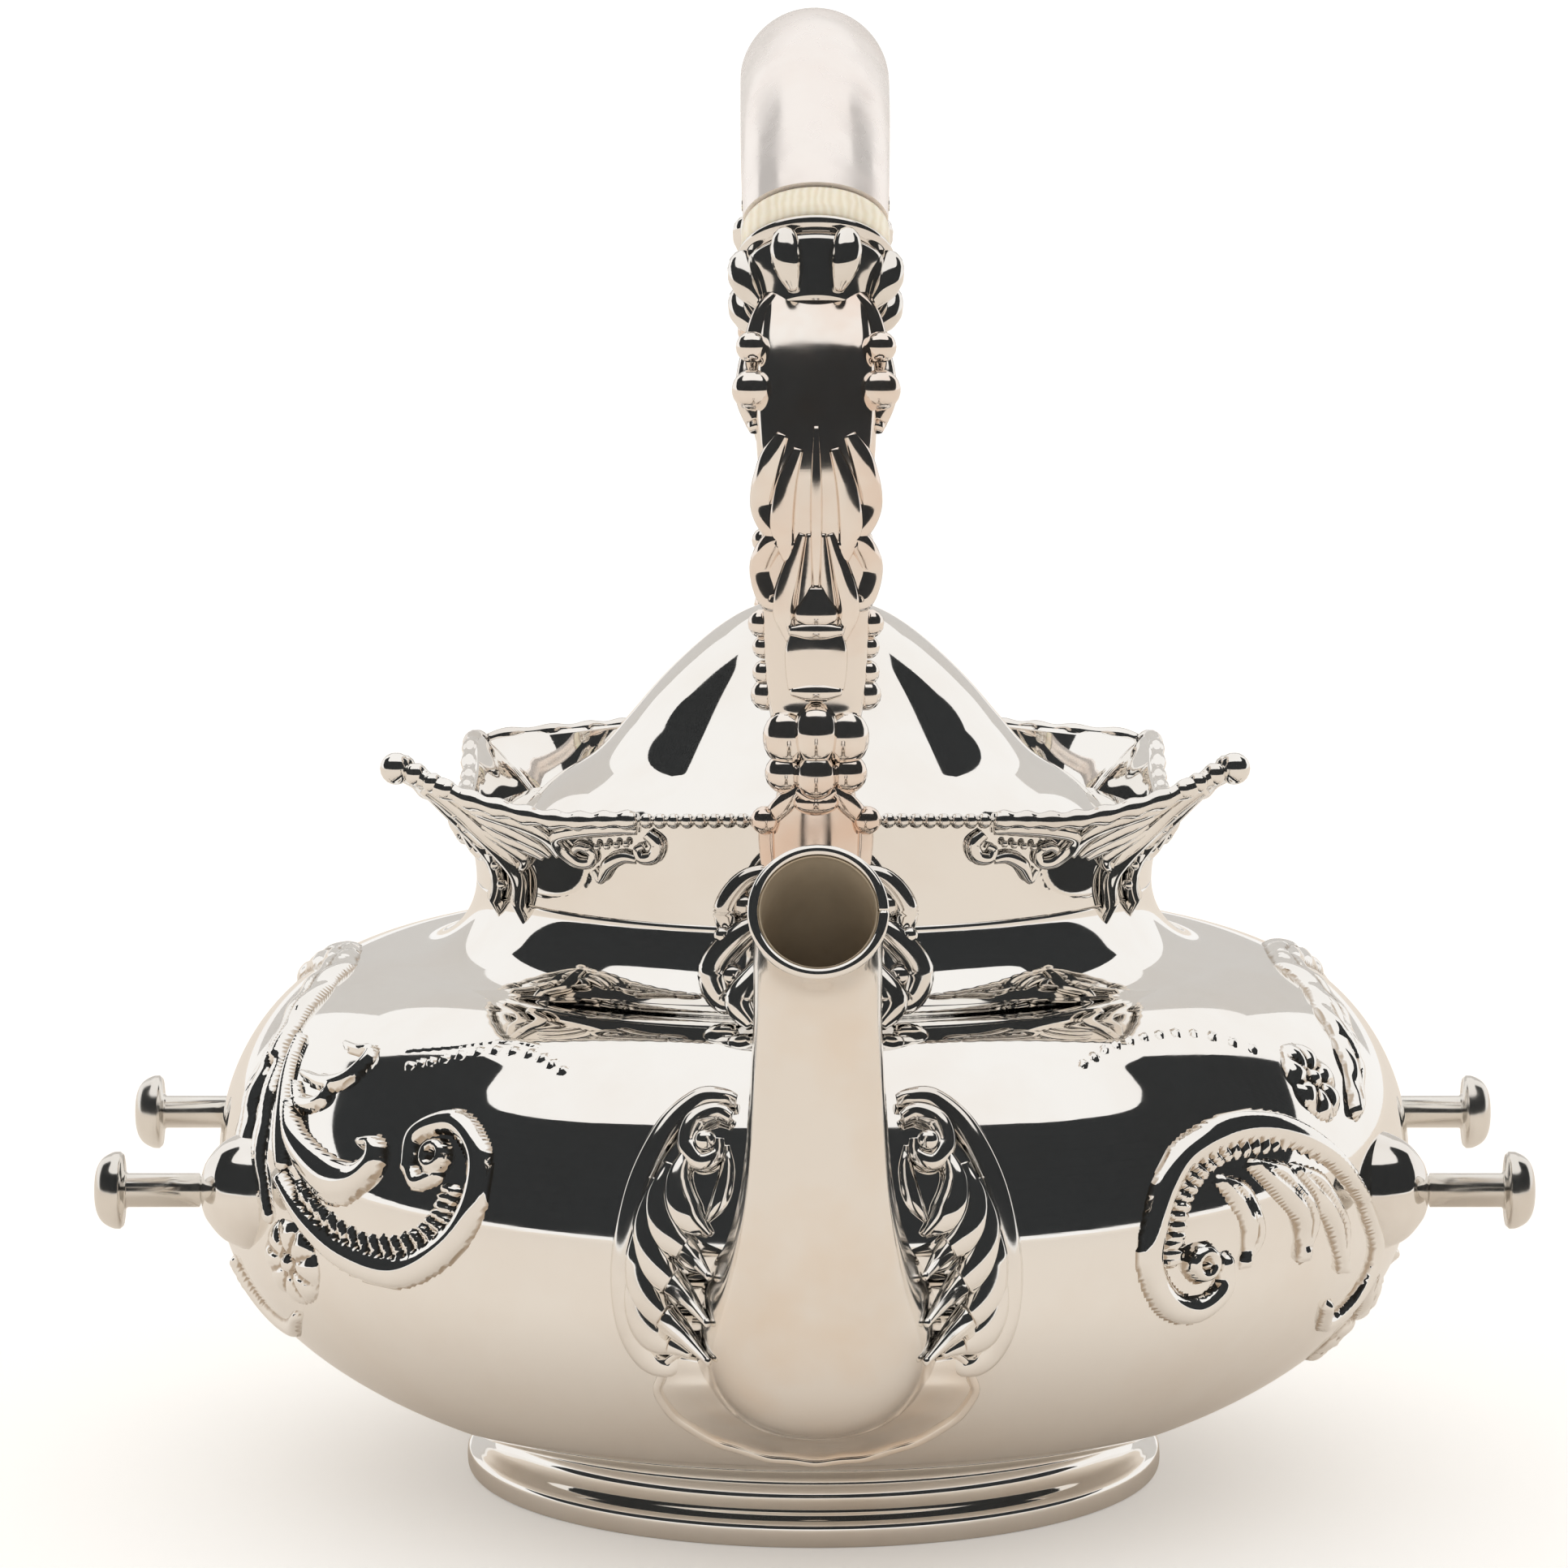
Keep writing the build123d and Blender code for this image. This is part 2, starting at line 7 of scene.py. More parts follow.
# %% Load the frame
import json
import math
import bmesh
import bpy
import numpy as np
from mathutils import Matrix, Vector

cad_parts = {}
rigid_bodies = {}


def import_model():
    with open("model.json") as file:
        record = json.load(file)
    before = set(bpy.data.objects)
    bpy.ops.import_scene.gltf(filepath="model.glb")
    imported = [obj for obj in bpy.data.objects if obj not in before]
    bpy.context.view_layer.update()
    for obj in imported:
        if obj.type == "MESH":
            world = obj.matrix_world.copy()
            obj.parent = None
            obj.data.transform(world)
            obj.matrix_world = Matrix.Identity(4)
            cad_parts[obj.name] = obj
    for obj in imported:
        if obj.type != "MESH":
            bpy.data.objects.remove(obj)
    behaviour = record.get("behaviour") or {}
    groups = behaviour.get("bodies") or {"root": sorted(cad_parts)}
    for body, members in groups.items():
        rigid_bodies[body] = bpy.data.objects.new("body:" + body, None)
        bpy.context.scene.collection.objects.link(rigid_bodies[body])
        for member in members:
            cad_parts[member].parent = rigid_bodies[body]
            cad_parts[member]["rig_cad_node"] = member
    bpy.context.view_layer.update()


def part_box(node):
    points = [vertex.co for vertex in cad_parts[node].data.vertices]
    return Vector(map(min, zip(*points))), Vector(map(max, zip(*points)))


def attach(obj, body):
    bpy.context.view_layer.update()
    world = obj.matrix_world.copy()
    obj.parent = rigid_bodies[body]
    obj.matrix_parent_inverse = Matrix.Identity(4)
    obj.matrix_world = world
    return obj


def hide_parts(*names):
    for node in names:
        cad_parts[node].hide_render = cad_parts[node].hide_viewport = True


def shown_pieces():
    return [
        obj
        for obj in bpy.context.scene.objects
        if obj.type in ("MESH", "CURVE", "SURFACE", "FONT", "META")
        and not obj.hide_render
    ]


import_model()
MM = 0.001


def size_of(node):
    """Lowest and highest corner of a solid, in millimetres."""
    low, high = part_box(node)
    return np.array(low) / MM, np.array(high) / MM


# %% [markdown]
# ## Tools for bending metal
# Three small helpers make nearly every surface here. A smooth line runs through a few chosen
# points. A skin joins rows of points into a surface. A wire is a skin round a line, with its own
# thickness at each place, which is how a cast scroll or a leaf's rib is drawn.


# %% Lines, skins and wires
def smooth_line(points, count, closed=False):
    """Points spread along a smooth curve through the given ones."""
    p = np.array(points, float)
    if closed:
        p = np.vstack([p[-1], p, p[0], p[1]])
    else:
        p = np.vstack([2 * p[0] - p[1], p, 2 * p[-1] - p[-2]])
    spans = len(p) - 3
    t = np.linspace(0, spans, count, endpoint=not closed)
    i = np.minimum(t.astype(int), spans - 1)
    f = (t - i)[:, None]
    a, b, c, d = p[i], p[i + 1], p[i + 2], p[i + 3]
    return 0.5 * (2 * b + (c - a) * f + (2 * a - 5 * b + 4 * c - d) * f ** 2
                  + (3 * b - a - 3 * c + d) * f ** 3)


def between(values, count):
    """The same smooth curve through single numbers."""
    return smooth_line([[v] for v in values], count)[:, 0]


class Metal:
    """Collects surfaces and turns them into one object."""

    def __init__(self):
        self.points, self.faces, self.total = [], [], 0

    def add(self, points, faces):
        self.points.append(np.asarray(points, float))
        self.faces += [tuple(k + self.total for k in f) for f in faces]
        self.total += len(points)

    def skin(self, rows, wrap=True, cap=False):
        """Rows of points become a surface; wrap closes each row, cap closes both ends."""
        rows = np.asarray(rows, float)
        n, m = rows.shape[:2]
        faces = []
        for i in range(n - 1):
            for j in range(m if wrap else m - 1):
                k = (j + 1) % m
                faces.append((i * m + j, i * m + k, (i + 1) * m + k, (i + 1) * m + j))
        if cap:
            faces += [tuple(range(m))[::-1], tuple((n - 1) * m + j for j in range(m))]
        self.add(rows.reshape(-1, 3), faces)

    def wire(self, line, radius, sides=12, squash=1.0, up=(0, 0, 1)):
        """A rod along a line; radius may change, and squash flattens it across the up direction."""
        line = np.asarray(line, float)
        n = len(line)
        radius = np.broadcast_to(radius, n) if np.ndim(radius) else np.full(n, radius)
        run = np.gradient(line, axis=0)
        run /= np.linalg.norm(run, axis=1, keepdims=True) + 1e-12
        ups = np.broadcast_to(np.asarray(up, float), (n, 3))
        across = np.cross(run, ups)
        across /= np.linalg.norm(across, axis=1, keepdims=True) + 1e-9
        lift = np.cross(across, run)
        a = np.linspace(0, 2 * math.pi, sides, endpoint=False)
        rows = (line[:, None] + radius[:, None, None] * (np.cos(a)[None, :, None] * across[:, None]
                + squash * np.sin(a)[None, :, None] * lift[:, None]))
        self.skin(rows, cap=True)

    def ball(self, centre, radius, turns=16, scale=(1, 1, 1)):
        """A round bead, stretched by the scale."""
        a = np.linspace(0, 2 * math.pi, turns, endpoint=False)
        b = np.linspace(-math.pi / 2, math.pi / 2, turns // 2 + 1)[1:-1]
        rows = np.stack([np.cos(b)[:, None] * np.cos(a), np.cos(b)[:, None] * np.sin(a),
                         np.sin(b)[:, None] * np.ones_like(a)], -1)
        self.skin(np.array(centre) + radius * rows * np.array(scale), cap=True)

    def turned(self, outline, turns=192, centre=(0, 0)):
        """A closed outline of (radius, height) points spun about an upright axis."""
        a = np.linspace(0, 2 * math.pi, turns, endpoint=False)
        rows = [np.stack([centre[0] + r * np.cos(a), centre[1] + r * np.sin(a),
                          np.full(turns, z)], -1) for r, z in outline]
        self.skin(rows)

    def made(self, name, body, replaces=(), slot="silver", crisp=None):
        """The object itself, riding on its body and standing for the named solids."""
        mesh = bpy.data.meshes.new(name)
        mesh.from_pydata((np.vstack(self.points) * MM).tolist(), [], self.faces)
        mesh.validate()
        shape = bmesh.new()
        shape.from_mesh(mesh)
        bmesh.ops.recalc_face_normals(shape, faces=shape.faces)
        shape.to_mesh(mesh)
        shape.free()
        piece = bpy.data.objects.new(name, mesh)
        bpy.context.scene.collection.objects.link(piece)
        mesh.polygons.foreach_set("use_smooth", [True] * len(mesh.polygons))
        if crisp:
            mesh.set_sharp_from_angle(angle=math.radians(crisp))
        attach(piece, body)
        if replaces:
            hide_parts(*replaces)
        print(name, len(mesh.polygons), "faces")
        return piece


# %% [markdown]
# ## The body
# The real body is raised from sheet in two halves, a bowl and a shoulder, with a seam at its
# widest line. One curve describes both: a half ellipse below, a short upright stretch, a fuller
# quarter ellipse above, and a hollow curve into the neck. Everything chased on the body is
# placed on this curve by its angle round the kettle and its distance along the curve.

# %% The body's curve
bowl_low, bowl_high = size_of("body_bowl")
shoulder_low, shoulder_high = size_of("body_shoulder")
BODY_R = bowl_high[0]
SEAM_Z = bowl_high[2]
NECK_Z = shoulder_high[2]
NECK_R = 54.0
WALL = 1.4
BARREL = 6.0
SHOULDER_R = 66.0
SHOULDER_RISE = 32.5
BASE_R = 48.0
BOWL_POINTS = 70
BOWL_DEPTH = (SEAM_Z - bowl_low[2]) / math.sqrt(1 - (BASE_R / BODY_R) ** 2)


def body_outline(inset=0.0):
    """Radius and height from the edge of the flat base up to the neck."""
    r, d = BODY_R - inset, BOWL_DEPTH - inset
    low = np.radians(np.linspace(-math.degrees(math.acos((BASE_R - inset) / r)), 0, BOWL_POINTS))
    high = np.radians(np.linspace(0, 90, 60))
    hollow = np.radians(np.linspace(0, 90, 30))[1:]
    neck_arc = SHOULDER_R - NECK_R
    top = SEAM_Z + BARREL
    return np.vstack([
        np.stack([r * np.cos(low), SEAM_Z + d * np.sin(low)], 1),
        np.stack([SHOULDER_R + (r - SHOULDER_R) * np.cos(high),
                  top + (SHOULDER_RISE - inset) * np.sin(high)], 1),
        np.stack([SHOULDER_R - (neck_arc + inset) * np.sin(hollow),
                  NECK_Z - (neck_arc + inset) * np.cos(hollow)], 1)])


outside = body_outline()
run = np.concatenate([[0], np.cumsum(np.hypot(*np.diff(outside, axis=0).T))])
climb = run - run[BOWL_POINTS - 1]
slope = np.gradient(outside, climb, axis=0)


def on_body(turn, up, lift=0.0):
    """Point on the body: degrees round from the spout, millimetres up from the seam."""
    turn, up = np.broadcast_arrays(np.radians(turn), np.asarray(up, float))
    r, z = np.interp(up, climb, outside[:, 0]), np.interp(up, climb, outside[:, 1])
    dr, dz = np.interp(up, climb, slope[:, 0]), np.interp(up, climb, slope[:, 1])
    size = np.hypot(dr, dz)
    r, z = r + lift * dz / size, z - lift * dr / size
    return np.stack([r * np.sin(turn), -r * np.cos(turn), z], -1)


body = Metal()
inside = body_outline(WALL)
body.turned(np.vstack([[(0.01, outside[0, 1])], outside, inside[::-1], [(0.01, inside[0, 1])]]), 320)
body.made("kettle_body", "kettle", ["body_bowl", "body_shoulder"])
print("curve runs from", round(climb[0], 1), "to", round(climb[-1], 1), "mm about the seam")

# %% [markdown]
# ## The foot
# A spun ring with a rounded lower edge and a hollow curve up to the bowl.

# %% Foot ring
FOOT_R = size_of("foot_ring")[1][0]
foot = Metal()
foot_edge = smooth_line([(FOOT_R - 3, 0.3), (FOOT_R - 2.4, 0), (FOOT_R - 0.8, 0.05), (FOOT_R, 0.9),
                         (FOOT_R, 3.2), (FOOT_R - 0.5, 4.0), (FOOT_R - 1.6, 4.6),
                         (FOOT_R - 3.4, 5.6), (FOOT_R - 4.6, 7.4), (FOOT_R - 4.2, 9.6)], 60)
foot.turned(np.vstack([foot_edge, [(47.5, 8.5), (47.2, 7.0), (FOOT_R - 4.5, 2.0), foot_edge[0]]]), 288)
foot.made("foot", "kettle", ["foot_ring"])

# %% [markdown]
# ## The collar
# Above the neck the silver flares into four drawn-out points. Its edge is given by a radius and
# a height at a few angles, the same on the left and the right.

# %% Collar surface
COLLAR_Z = size_of("collar")[1][2]
COLLAR_WALL = 1.2
EDGE = [  # degrees round from the spout, radius, height about the highest corner
        (0, 53.8, 0.4), (14, 54.0, 0.0), (30, 55.8, -0.6), (41, 60.6, -0.9), (50, 66.6, 1.2),
        (56, 70.2, 3.6), (60.5, 72.6, 5.6), (64.5, 69.5, 3.6), (72, 63.0, -0.6), (82, 58.0, -3.4),
        (93, 56.0, -4.2), (106, 58.0, -2.6), (117, 63.0, 0.2), (124, 67.2, 0.6), (127, 69.0, -0.6),
        (130, 67.0, 0.2), (138, 60.0, 1.0), (150, 54.5, 1.6), (165, 51.8, 1.2), (180, 51.0, 0.8)]
ring_turn = [a for a, _, _ in EDGE] + [360 - a for a, _, _ in EDGE[-2:0:-1]]
ring_r = [r for _, r, _ in EDGE] + [r for _, r, _ in EDGE[-2:0:-1]]
ring_z = [z for _, _, z in EDGE] + [z for _, _, z in EDGE[-2:0:-1]]
ring = smooth_line(np.stack([np.radians(ring_turn), ring_r, ring_z], 1), 760)
ring = np.vstack([ring, [2 * math.pi, ring_r[0], ring_z[0]]])


def on_collar(turn, down, lift=0.0):
    """Point on the collar: degrees round from the spout, share of the way down from the edge.

    Past the neck, where the share is above 1, the flare has no value.
    """
    turn, down = np.broadcast_arrays(np.asarray(turn, float) % 360, np.asarray(down, float))
    a = np.radians(turn)
    r = np.interp(a, ring[:, 0], ring[:, 1])
    z = np.interp(a, ring[:, 0], ring[:, 2]) + COLLAR_Z
    flare = (1 - down) ** 1.7
    r = NECK_R + (r - NECK_R) * flare + lift * 0.93
    z = NECK_Z + (z - NECK_Z) * (1 - down) - lift * 0.3
    return np.stack([r * np.sin(a), -r * np.cos(a), z], -1)


collar = Metal()
around = np.linspace(0, 360, 480, endpoint=False)
rows = [on_collar(around, d) for d in np.linspace(1, 0, 26)]
rows += [on_collar(around, d, -COLLAR_WALL) for d in np.linspace(0, 1, 26)]
collar.skin(np.array(rows + rows[:1]))
collar.made("collar_wall", "kettle", ["collar"])

# %% [markdown]
# ## The border cast along the collar
# A border of beads and scrolls was cast in strips and soldered to the edge. Beads run along the
# front. Beside them lies a small C-scroll, then a leaf that grows towards each point, and a drop
# ornament hangs from each corner down to the neck.

# %% Beads and the wavy edge
border = Metal()


def wavy_edge(side, first, last, count, thin, swell, waves):
    """A rod along the edge that swells and thins in soft waves."""
    edge = np.array([on_collar(side * turn, 0, 0.3) for turn in np.linspace(first, last, count)])
    border.wire(edge, thin + swell * np.sin(np.linspace(0, waves * math.pi, count)) ** 2, 12)


for side in (-1, 1):
    for k in range(9):                                   # beads in front of the lid
        border.ball(on_collar(side * (9.5 + 2.25 * k), 0, 0.4), 1.22, 14)
    for k in range(16):                                  # the rear edge has a row as well
        border.ball(on_collar(180 - side * (11 + 1.95 * k), 0, 0.4), 1.05, 12)
    wavy_edge(side, 29, 60, 60, 1.25, 0.45, 9)
    wavy_edge(side, 61, 126, 110, 1.05, 0.35, 11)
    wavy_edge(side, 128, 158, 50, 1.0, 0.4, 6)
    for k, turn in enumerate(np.linspace(52, 60.4, 5)):  # beads that grow towards the point
        border.ball(on_collar(side * turn, 0, 0.6) + np.array([0, 0, 0.3]), 1.2 + 0.22 * k, 14)
    border.ball(on_collar(side * 60.5, 0, 1.8) + np.array([0, 0, 0.6]), 2.5, 20)
    border.ball(on_collar(side * 127, 0, 1.2), 2.3, 20)
print("beads and edge rods so far:", border.total, "points")


# %% [markdown]
# Every scroll, leaf and drop of the border is one more rod that lies on the collar. Its line is
# given in degrees round the kettle and in the share of the way down from the edge, so the same
# numbers serve the left and the right, and the flare of the collar bends the rod by itself.

# %% Scrolls, leaves and drops
def collar_scroll(line, radius, count=60, side=1, lift=0.7, flat=0.8):
    """A cast rod lying on the collar through (degrees, share down) points."""
    path = smooth_line(line, count)
    points = on_collar(side * path[:, 0], path[:, 1], lift)
    away = points * [1, 1, 0]
    away /= np.linalg.norm(away, axis=1, keepdims=True)
    border.wire(points, 1.35 * between(radius, count), 12, flat, away)


for side in (-1, 1):
    # the C-scroll beside the beads, with a row of tiny beads inside it
    collar_scroll([(29, .09), (33, .06), (38, .08), (41.5, .16), (42, .30), (40, .42), (37.6, .42),
                   (37, .32), (38.6, .26), (39.8, .30)],
                  [0.5, 1.0, 1.0, .9, .9, .8, .7, .6, .5, .5], 90, side)
    collar_scroll([(27.5, .12), (25.8, .22), (26.6, .34), (28.6, .36), (29.4, .28), (28.2, .24)],
                  [0.7, .9, .9, .7, .5, .4], 60, side)
    collar_scroll([(29.5, .38), (32, .36), (34.5, .44), (36.4, .60), (37.4, .50)],
                  [0.5, .8, .9, .5, .3], 50, side)
    for k in range(5):
        border.ball(on_collar(side * (31 + 1.6 * k), .22 + .012 * k, 0.8), 0.62, 10)
    # the leaf between the C-scroll and the point
    collar_scroll([(43, .40), (43.6, .20), (46, .08), (49.5, .05), (52.5, .10)],
                  [.4, .9, 1.2, 1.1, .7], 50, side)
    collar_scroll([(44.5, .42), (46.5, .30), (50, .20), (53.5, .20)], [.4, .9, 1.0, .5], 40, side)
    collar_scroll([(46, .46), (48.5, .38), (51.5, .33), (54.5, .30)], [.4, .8, .9, .4], 40, side)
    # the drop at the corner, in two strands whose last rings lie past the neck
    collar_scroll([(59, .10), (57.5, .30), (55.0, .52), (54.5, .74), (57, .96), (58.5, 1.10)],
                  [1.1, 1.3, 1.5, 1.3, 1.2, 1.5], 70, side, 1.0)
    collar_scroll([(60.5, .14), (61.5, .36), (60.0, .58), (62, .78), (65.5, .96), (68.5, 1.06)],
                  [1.0, 1.2, 1.4, 1.1, 1.1, 1.4], 70, side, 1.0)
    collar_scroll([(58, .34), (53, .40), (50.5, .52), (52.5, .62), (55.5, .60)],
                  [.6, .9, .9, .8, .5], 50, side)
    collar_scroll([(61, .40), (65, .42), (67.5, .54), (65.5, .64), (62.5, .60)],
                  [.6, .9, .9, .8, .5], 50, side)
    for turn, down in ((57.6, .26), (59.6, .42), (57.4, .56), (59.2, .70), (60.4, .86)):
        border.ball(on_collar(side * turn, down, 1.5), 0.95, 12)
    # the rear corners carry a plainer drop, which runs past the neck too
    collar_scroll([(126, .12), (124, .36), (122, .60), (119, .86), (117, 1.02)],
                  [1, 1.3, 1.3, 1.1, 1.3], 60, side, 1.0)
    collar_scroll([(128, .12), (130.5, .36), (132, .60), (135.5, .86), (138, 1.02)],
                  [1, 1.3, 1.3, 1.1, 1.3], 60, side, 1.0)
    collar_scroll([(125, .30), (120, .26), (116.5, .34), (117.5, .46), (120.5, .44)],
                  [.6, 1, 1, .8, .5], 50, side)
    collar_scroll([(129, .30), (135, .24), (139.5, .30), (139, .42), (135.5, .42)],
                  [.6, 1, 1, .8, .5], 50, side)
    for k in range(4):
        border.ball(on_collar(side * 127, .22 + .16 * k, 1.2), 1.0 - .08 * k, 12)
    # a soft scroll in the middle of each side
    collar_scroll([(93, .06), (86, .10), (80, .20), (78, .36), (82, .44), (85, .34)],
                  [.9, 1.2, 1.1, 1, .8, .5], 60, side)
    collar_scroll([(93, .06), (100, .10), (106, .18), (108, .32), (104, .40), (101, .30)],
                  [.9, 1.2, 1.1, 1, .8, .5], 60, side)
border.made("collar_border", "kettle",
            [f"corner_curl_{e}_{s}" for e in ("front", "rear") for s in ("left", "right")])

# %% [markdown]
# ## The lid
# A bell-shaped dome spun from one disc, soldered to a flat rim. The knob sits on a cream disc so
# that it stays cool enough to hold.

# %% Lid
dome_low, dome_high = size_of("lid_dome")
DOME_R, DOME_Z = dome_high[0], dome_low[2]
DOME_RISE = dome_high[2] - DOME_Z
BELL = [(DOME_R, 0), (41.6, .132), (35, .259), (29.7, .431), (25, .593), (20, .739), (15, .86),
        (10.3, .94), (5, .985), (0.01, 1)]               # radius, share of the rise
bell = smooth_line([(r, DOME_Z + DOME_RISE * share) for r, share in BELL], 120)
lid = Metal()
under = bell - [1.1, 0.9]                                # the inside of the sheet
under = np.vstack([under[under[:, 0] > 0.01], [(0.01, under[-1, 1])]])
lid.turned(np.vstack([bell, under[::-1]]), 256)
lid.made("lid_bell", "lid", ["lid_dome"])

rim_low, rim_high = size_of("lid_rim")
RIM_R, RIM_Z, RIM_TOP = rim_high[0], rim_low[2], rim_high[2]
rim = Metal()
rim.turned(smooth_line([(RIM_R - .8, RIM_Z), (RIM_R, RIM_Z + .8), (RIM_R - .8, RIM_TOP),
                        (DOME_R - .5, RIM_TOP + .1), (DOME_R - 3, RIM_TOP),
                        (DOME_R - 4.2, RIM_Z + .8), (DOME_R - 3, RIM_Z)], 42, closed=True), 256)
rim.made("lid_edge", "lid", ["lid_rim"])

# %% [markdown]
# The knob is a small bud: a turned core, with ten lobes laid round it as short rods.

# %% Finial
knob_low, knob_high = size_of("finial_knob")
KNOB_R, KNOB_Z, KNOB_TOP = 7.4, knob_low[2], knob_high[2]
LOBES = 10
knob = Metal()
knob.turned(smooth_line([(1.6, KNOB_Z), (3.4, KNOB_Z + .1), (3.9, KNOB_Z + .9), (3.0, KNOB_Z + 2.0),
                         (3.6, KNOB_Z + 3.4), (6.2, KNOB_Z + 5.0), (KNOB_R, KNOB_Z + 6.6),
                         (6.6, KNOB_Z + 8.4), (3.9, KNOB_TOP - 1.4), (2.2, KNOB_TOP - .8),
                         (1.6, KNOB_TOP - .2), (0.05, KNOB_TOP)], 90), 96)
lobe_side = smooth_line([(2.2, -1.2), (5.0, -2.0), (6.9, -4.4), (5.2, -6.6)], 24)
for k in range(LOBES):
    turn = 2 * math.pi * k / LOBES
    out, down = lobe_side.T
    knob.wire(np.stack([out * math.cos(turn), out * math.sin(turn), KNOB_TOP + down], 1),
              between([.3, 1.0, 1.2, .4], 24), 10)
knob.made("finial_bud", "lid", ["finial_knob"])

# %% [markdown]
# ## The spout
# A gooseneck made from two stampings, round at the mouth, flattened down its front where it
# rises, and swelling into a broad pear shape where it meets the body.

# %% Gooseneck
SPOUT = [  # distance forward, height, lean above level, half width, half depth, squareness
    (78, 41, 0, 20.5, 16.5, 2.0), (88, 41.5, 2, 19.5, 16.2, 2.0), (96, 43.5, 14, 18.0, 15.5, 2.2),
    (104.5, 48.5, 40, 16.4, 14.6, 2.6), (110.5, 57, 64, 13.4, 11.4, 3.2), (114, 68, 80, 11.0, 9.8, 3.8),
    (115.5, 82, 86, 9.8, 9.1, 3.8), (117, 94, 76, 9.2, 8.9, 3.0), (121, 104, 50, 9.2, 9.0, 2.3),
    (127, 110, 26, 9.4, 9.3, 2.0), (129.2, 111.1, 26, 9.6, 9.5, 2.0)]
stations = smooth_line(SPOUT, 110)


def spout_row(station, inset, sides=72):
    """One ring of the gooseneck; squareness above 2 flattens its faces."""
    forward, height, lean, wide, deep, square = station
    lean = math.radians(lean)
    a = np.linspace(0, 2 * math.pi, sides, endpoint=False)
    c, s = np.cos(a), np.sin(a)
    x = (wide - inset) * np.sign(c) * np.abs(c) ** (2 / square)
    v = (deep - inset) * np.sign(s) * np.abs(s) ** (2 / square)
    return np.stack([x, -forward + v * math.sin(lean), height + v * math.cos(lean)], 1)


spout = Metal()
outer = [spout_row(s, 0) for s in stations]
inner = [spout_row(s, 1.0) for s in stations[::-1]]
spout.skin(np.array(outer + inner + outer[:1]))
spout.made("gooseneck", "kettle", ["spout"], crisp=70)
lining = Metal()                                         # the dull inside, where water has stood
lining.skin(np.array([spout_row(s, 1.05) for s in stations]
                     + [spout_row(s, 1.4) for s in stations[::-1]]))
lining.made("gooseneck_lining", "kettle")

lip = Metal()
mouth_ring = spout_row(stations[-1], 0.45, 120)
lip.wire(np.vstack([mouth_ring, mouth_ring[:1]]), 0.85, 12)
lip.made("mouth_wire", "kettle", ["spout_lip"])

# %% [markdown]
# ## The leaves beside the spout
# An acanthus leaf curls round each side of the spout's root. Its flutes start under a volute,
# follow the outer rim down and turn in towards the spout, where each ends in a point.

# %% Acanthus leaves
spout_skin = np.vstack(outer)
LOWER_BODY = 100                                         # outline points that the root can touch


def on_front(across, height, lift=0.0):
    """Points on whatever stands furthest forward there, the body or the spout."""
    across, height = np.broadcast_arrays(np.asarray(across, float), np.asarray(height, float))
    climb_there = np.interp(height, outside[:LOWER_BODY, 1], climb[:LOWER_BODY])
    radius = np.interp(climb_there, climb, outside[:, 0])
    forward = np.sqrt(np.clip(radius ** 2 - across ** 2, 0, None))
    near = np.hypot(spout_skin[:, 0] - across[:, None], spout_skin[:, 2] - height[:, None]) < 1.3
    reach = np.where(near, -spout_skin[:, 1], 0).max(1)
    forward = np.maximum(forward, reach)
    padded = np.concatenate([forward[:1].repeat(8), forward, forward[-1:].repeat(8)])
    forward = np.convolve(padded, np.ones(17) / 17, "valid")
    return np.stack([across, -forward - lift, height], -1)


def flute(leaf, side, line, radius, count=70, lift=0.6):
    """A rod laid on the body and the spout through (across, height) points."""
    path = smooth_line(line, count)
    points = on_front(side * path[:, 0], path[:, 1], lift)
    leaf.wire(points, between(radius, count), 14, 0.8, points * [1, 1, 0.2])


POINTED = [  # flutes that end in points against the spout
    [(19.2, 69.0), (20.4, 65.0), (19.2, 60.6), (15.8, 57.6)],
    [(21.4, 67.6), (23.2, 62.4), (21.4, 57.2), (15.6, 53.6)],
    [(23.4, 65.4), (25.0, 58.4), (22.8, 52.0), (15.8, 47.6)],
    [(25.0, 61.0), (26.2, 53.0), (23.6, 46.4), (15.6, 41.8)],
    [(26.2, 54.6), (26.4, 47.6), (23.8, 42.2), (18.6, 40.2)]]

for side, name in ((-1, "left"), (1, "right")):
    leaf = Metal()
    # outer rim, from the curl at the top to the curl at the bottom
    flute(leaf, side, [(11.8, 76.0), (14.0, 76.4), (17.3, 75.8), (22.1, 71.6), (26.4, 63.5), (28.4, 53),
                       (27.6, 44), (24.8, 38.6), (21.6, 37.4), (19.8, 39.4)],
          [1.0, 1.6, 2.0, 2.1, 2.0, 2.0, 2.2, 2.2, 1.8, 1.0], 120, 0.4)
    # the volute, the eye in its middle and the stem that leaves it
    flute(leaf, side, [(12.6, 73.8), (14.8, 74.6), (18.0, 73.2), (19.0, 70.2), (17.2, 68.0),
                       (14.8, 69.0), (14.6, 71.2)], [1.0, 1.5, 1.7, 1.6, 1.5, 1.2, 1.0], 90, 1.8)
    leaf.ball(on_front([side * 16.4], [70.9], 2.4)[0], 1.7, 20)
    flute(leaf, side, [(13.4, 70.0), (13.2, 66.5), (14.2, 62.5), (16.2, 59.4)], [.6, 1.2, 1.4, .5], 60, 0.2)
    for k, line in enumerate(POINTED):
        flute(leaf, side, line, [0.9, 2.1, 2.6, 0.5], 70, 1.7 - 0.12 * k)
    leaf.made(f"acanthus_{name}", "kettle", [f"spout_cheek_{name}"])

# %% [markdown]
# Below the leaves the root spreads into a smooth lip that hugs the bowl. It is a fan of rows from
# under the spout out to a soft-lobed rim; each row stands a little nearer to the bowl.

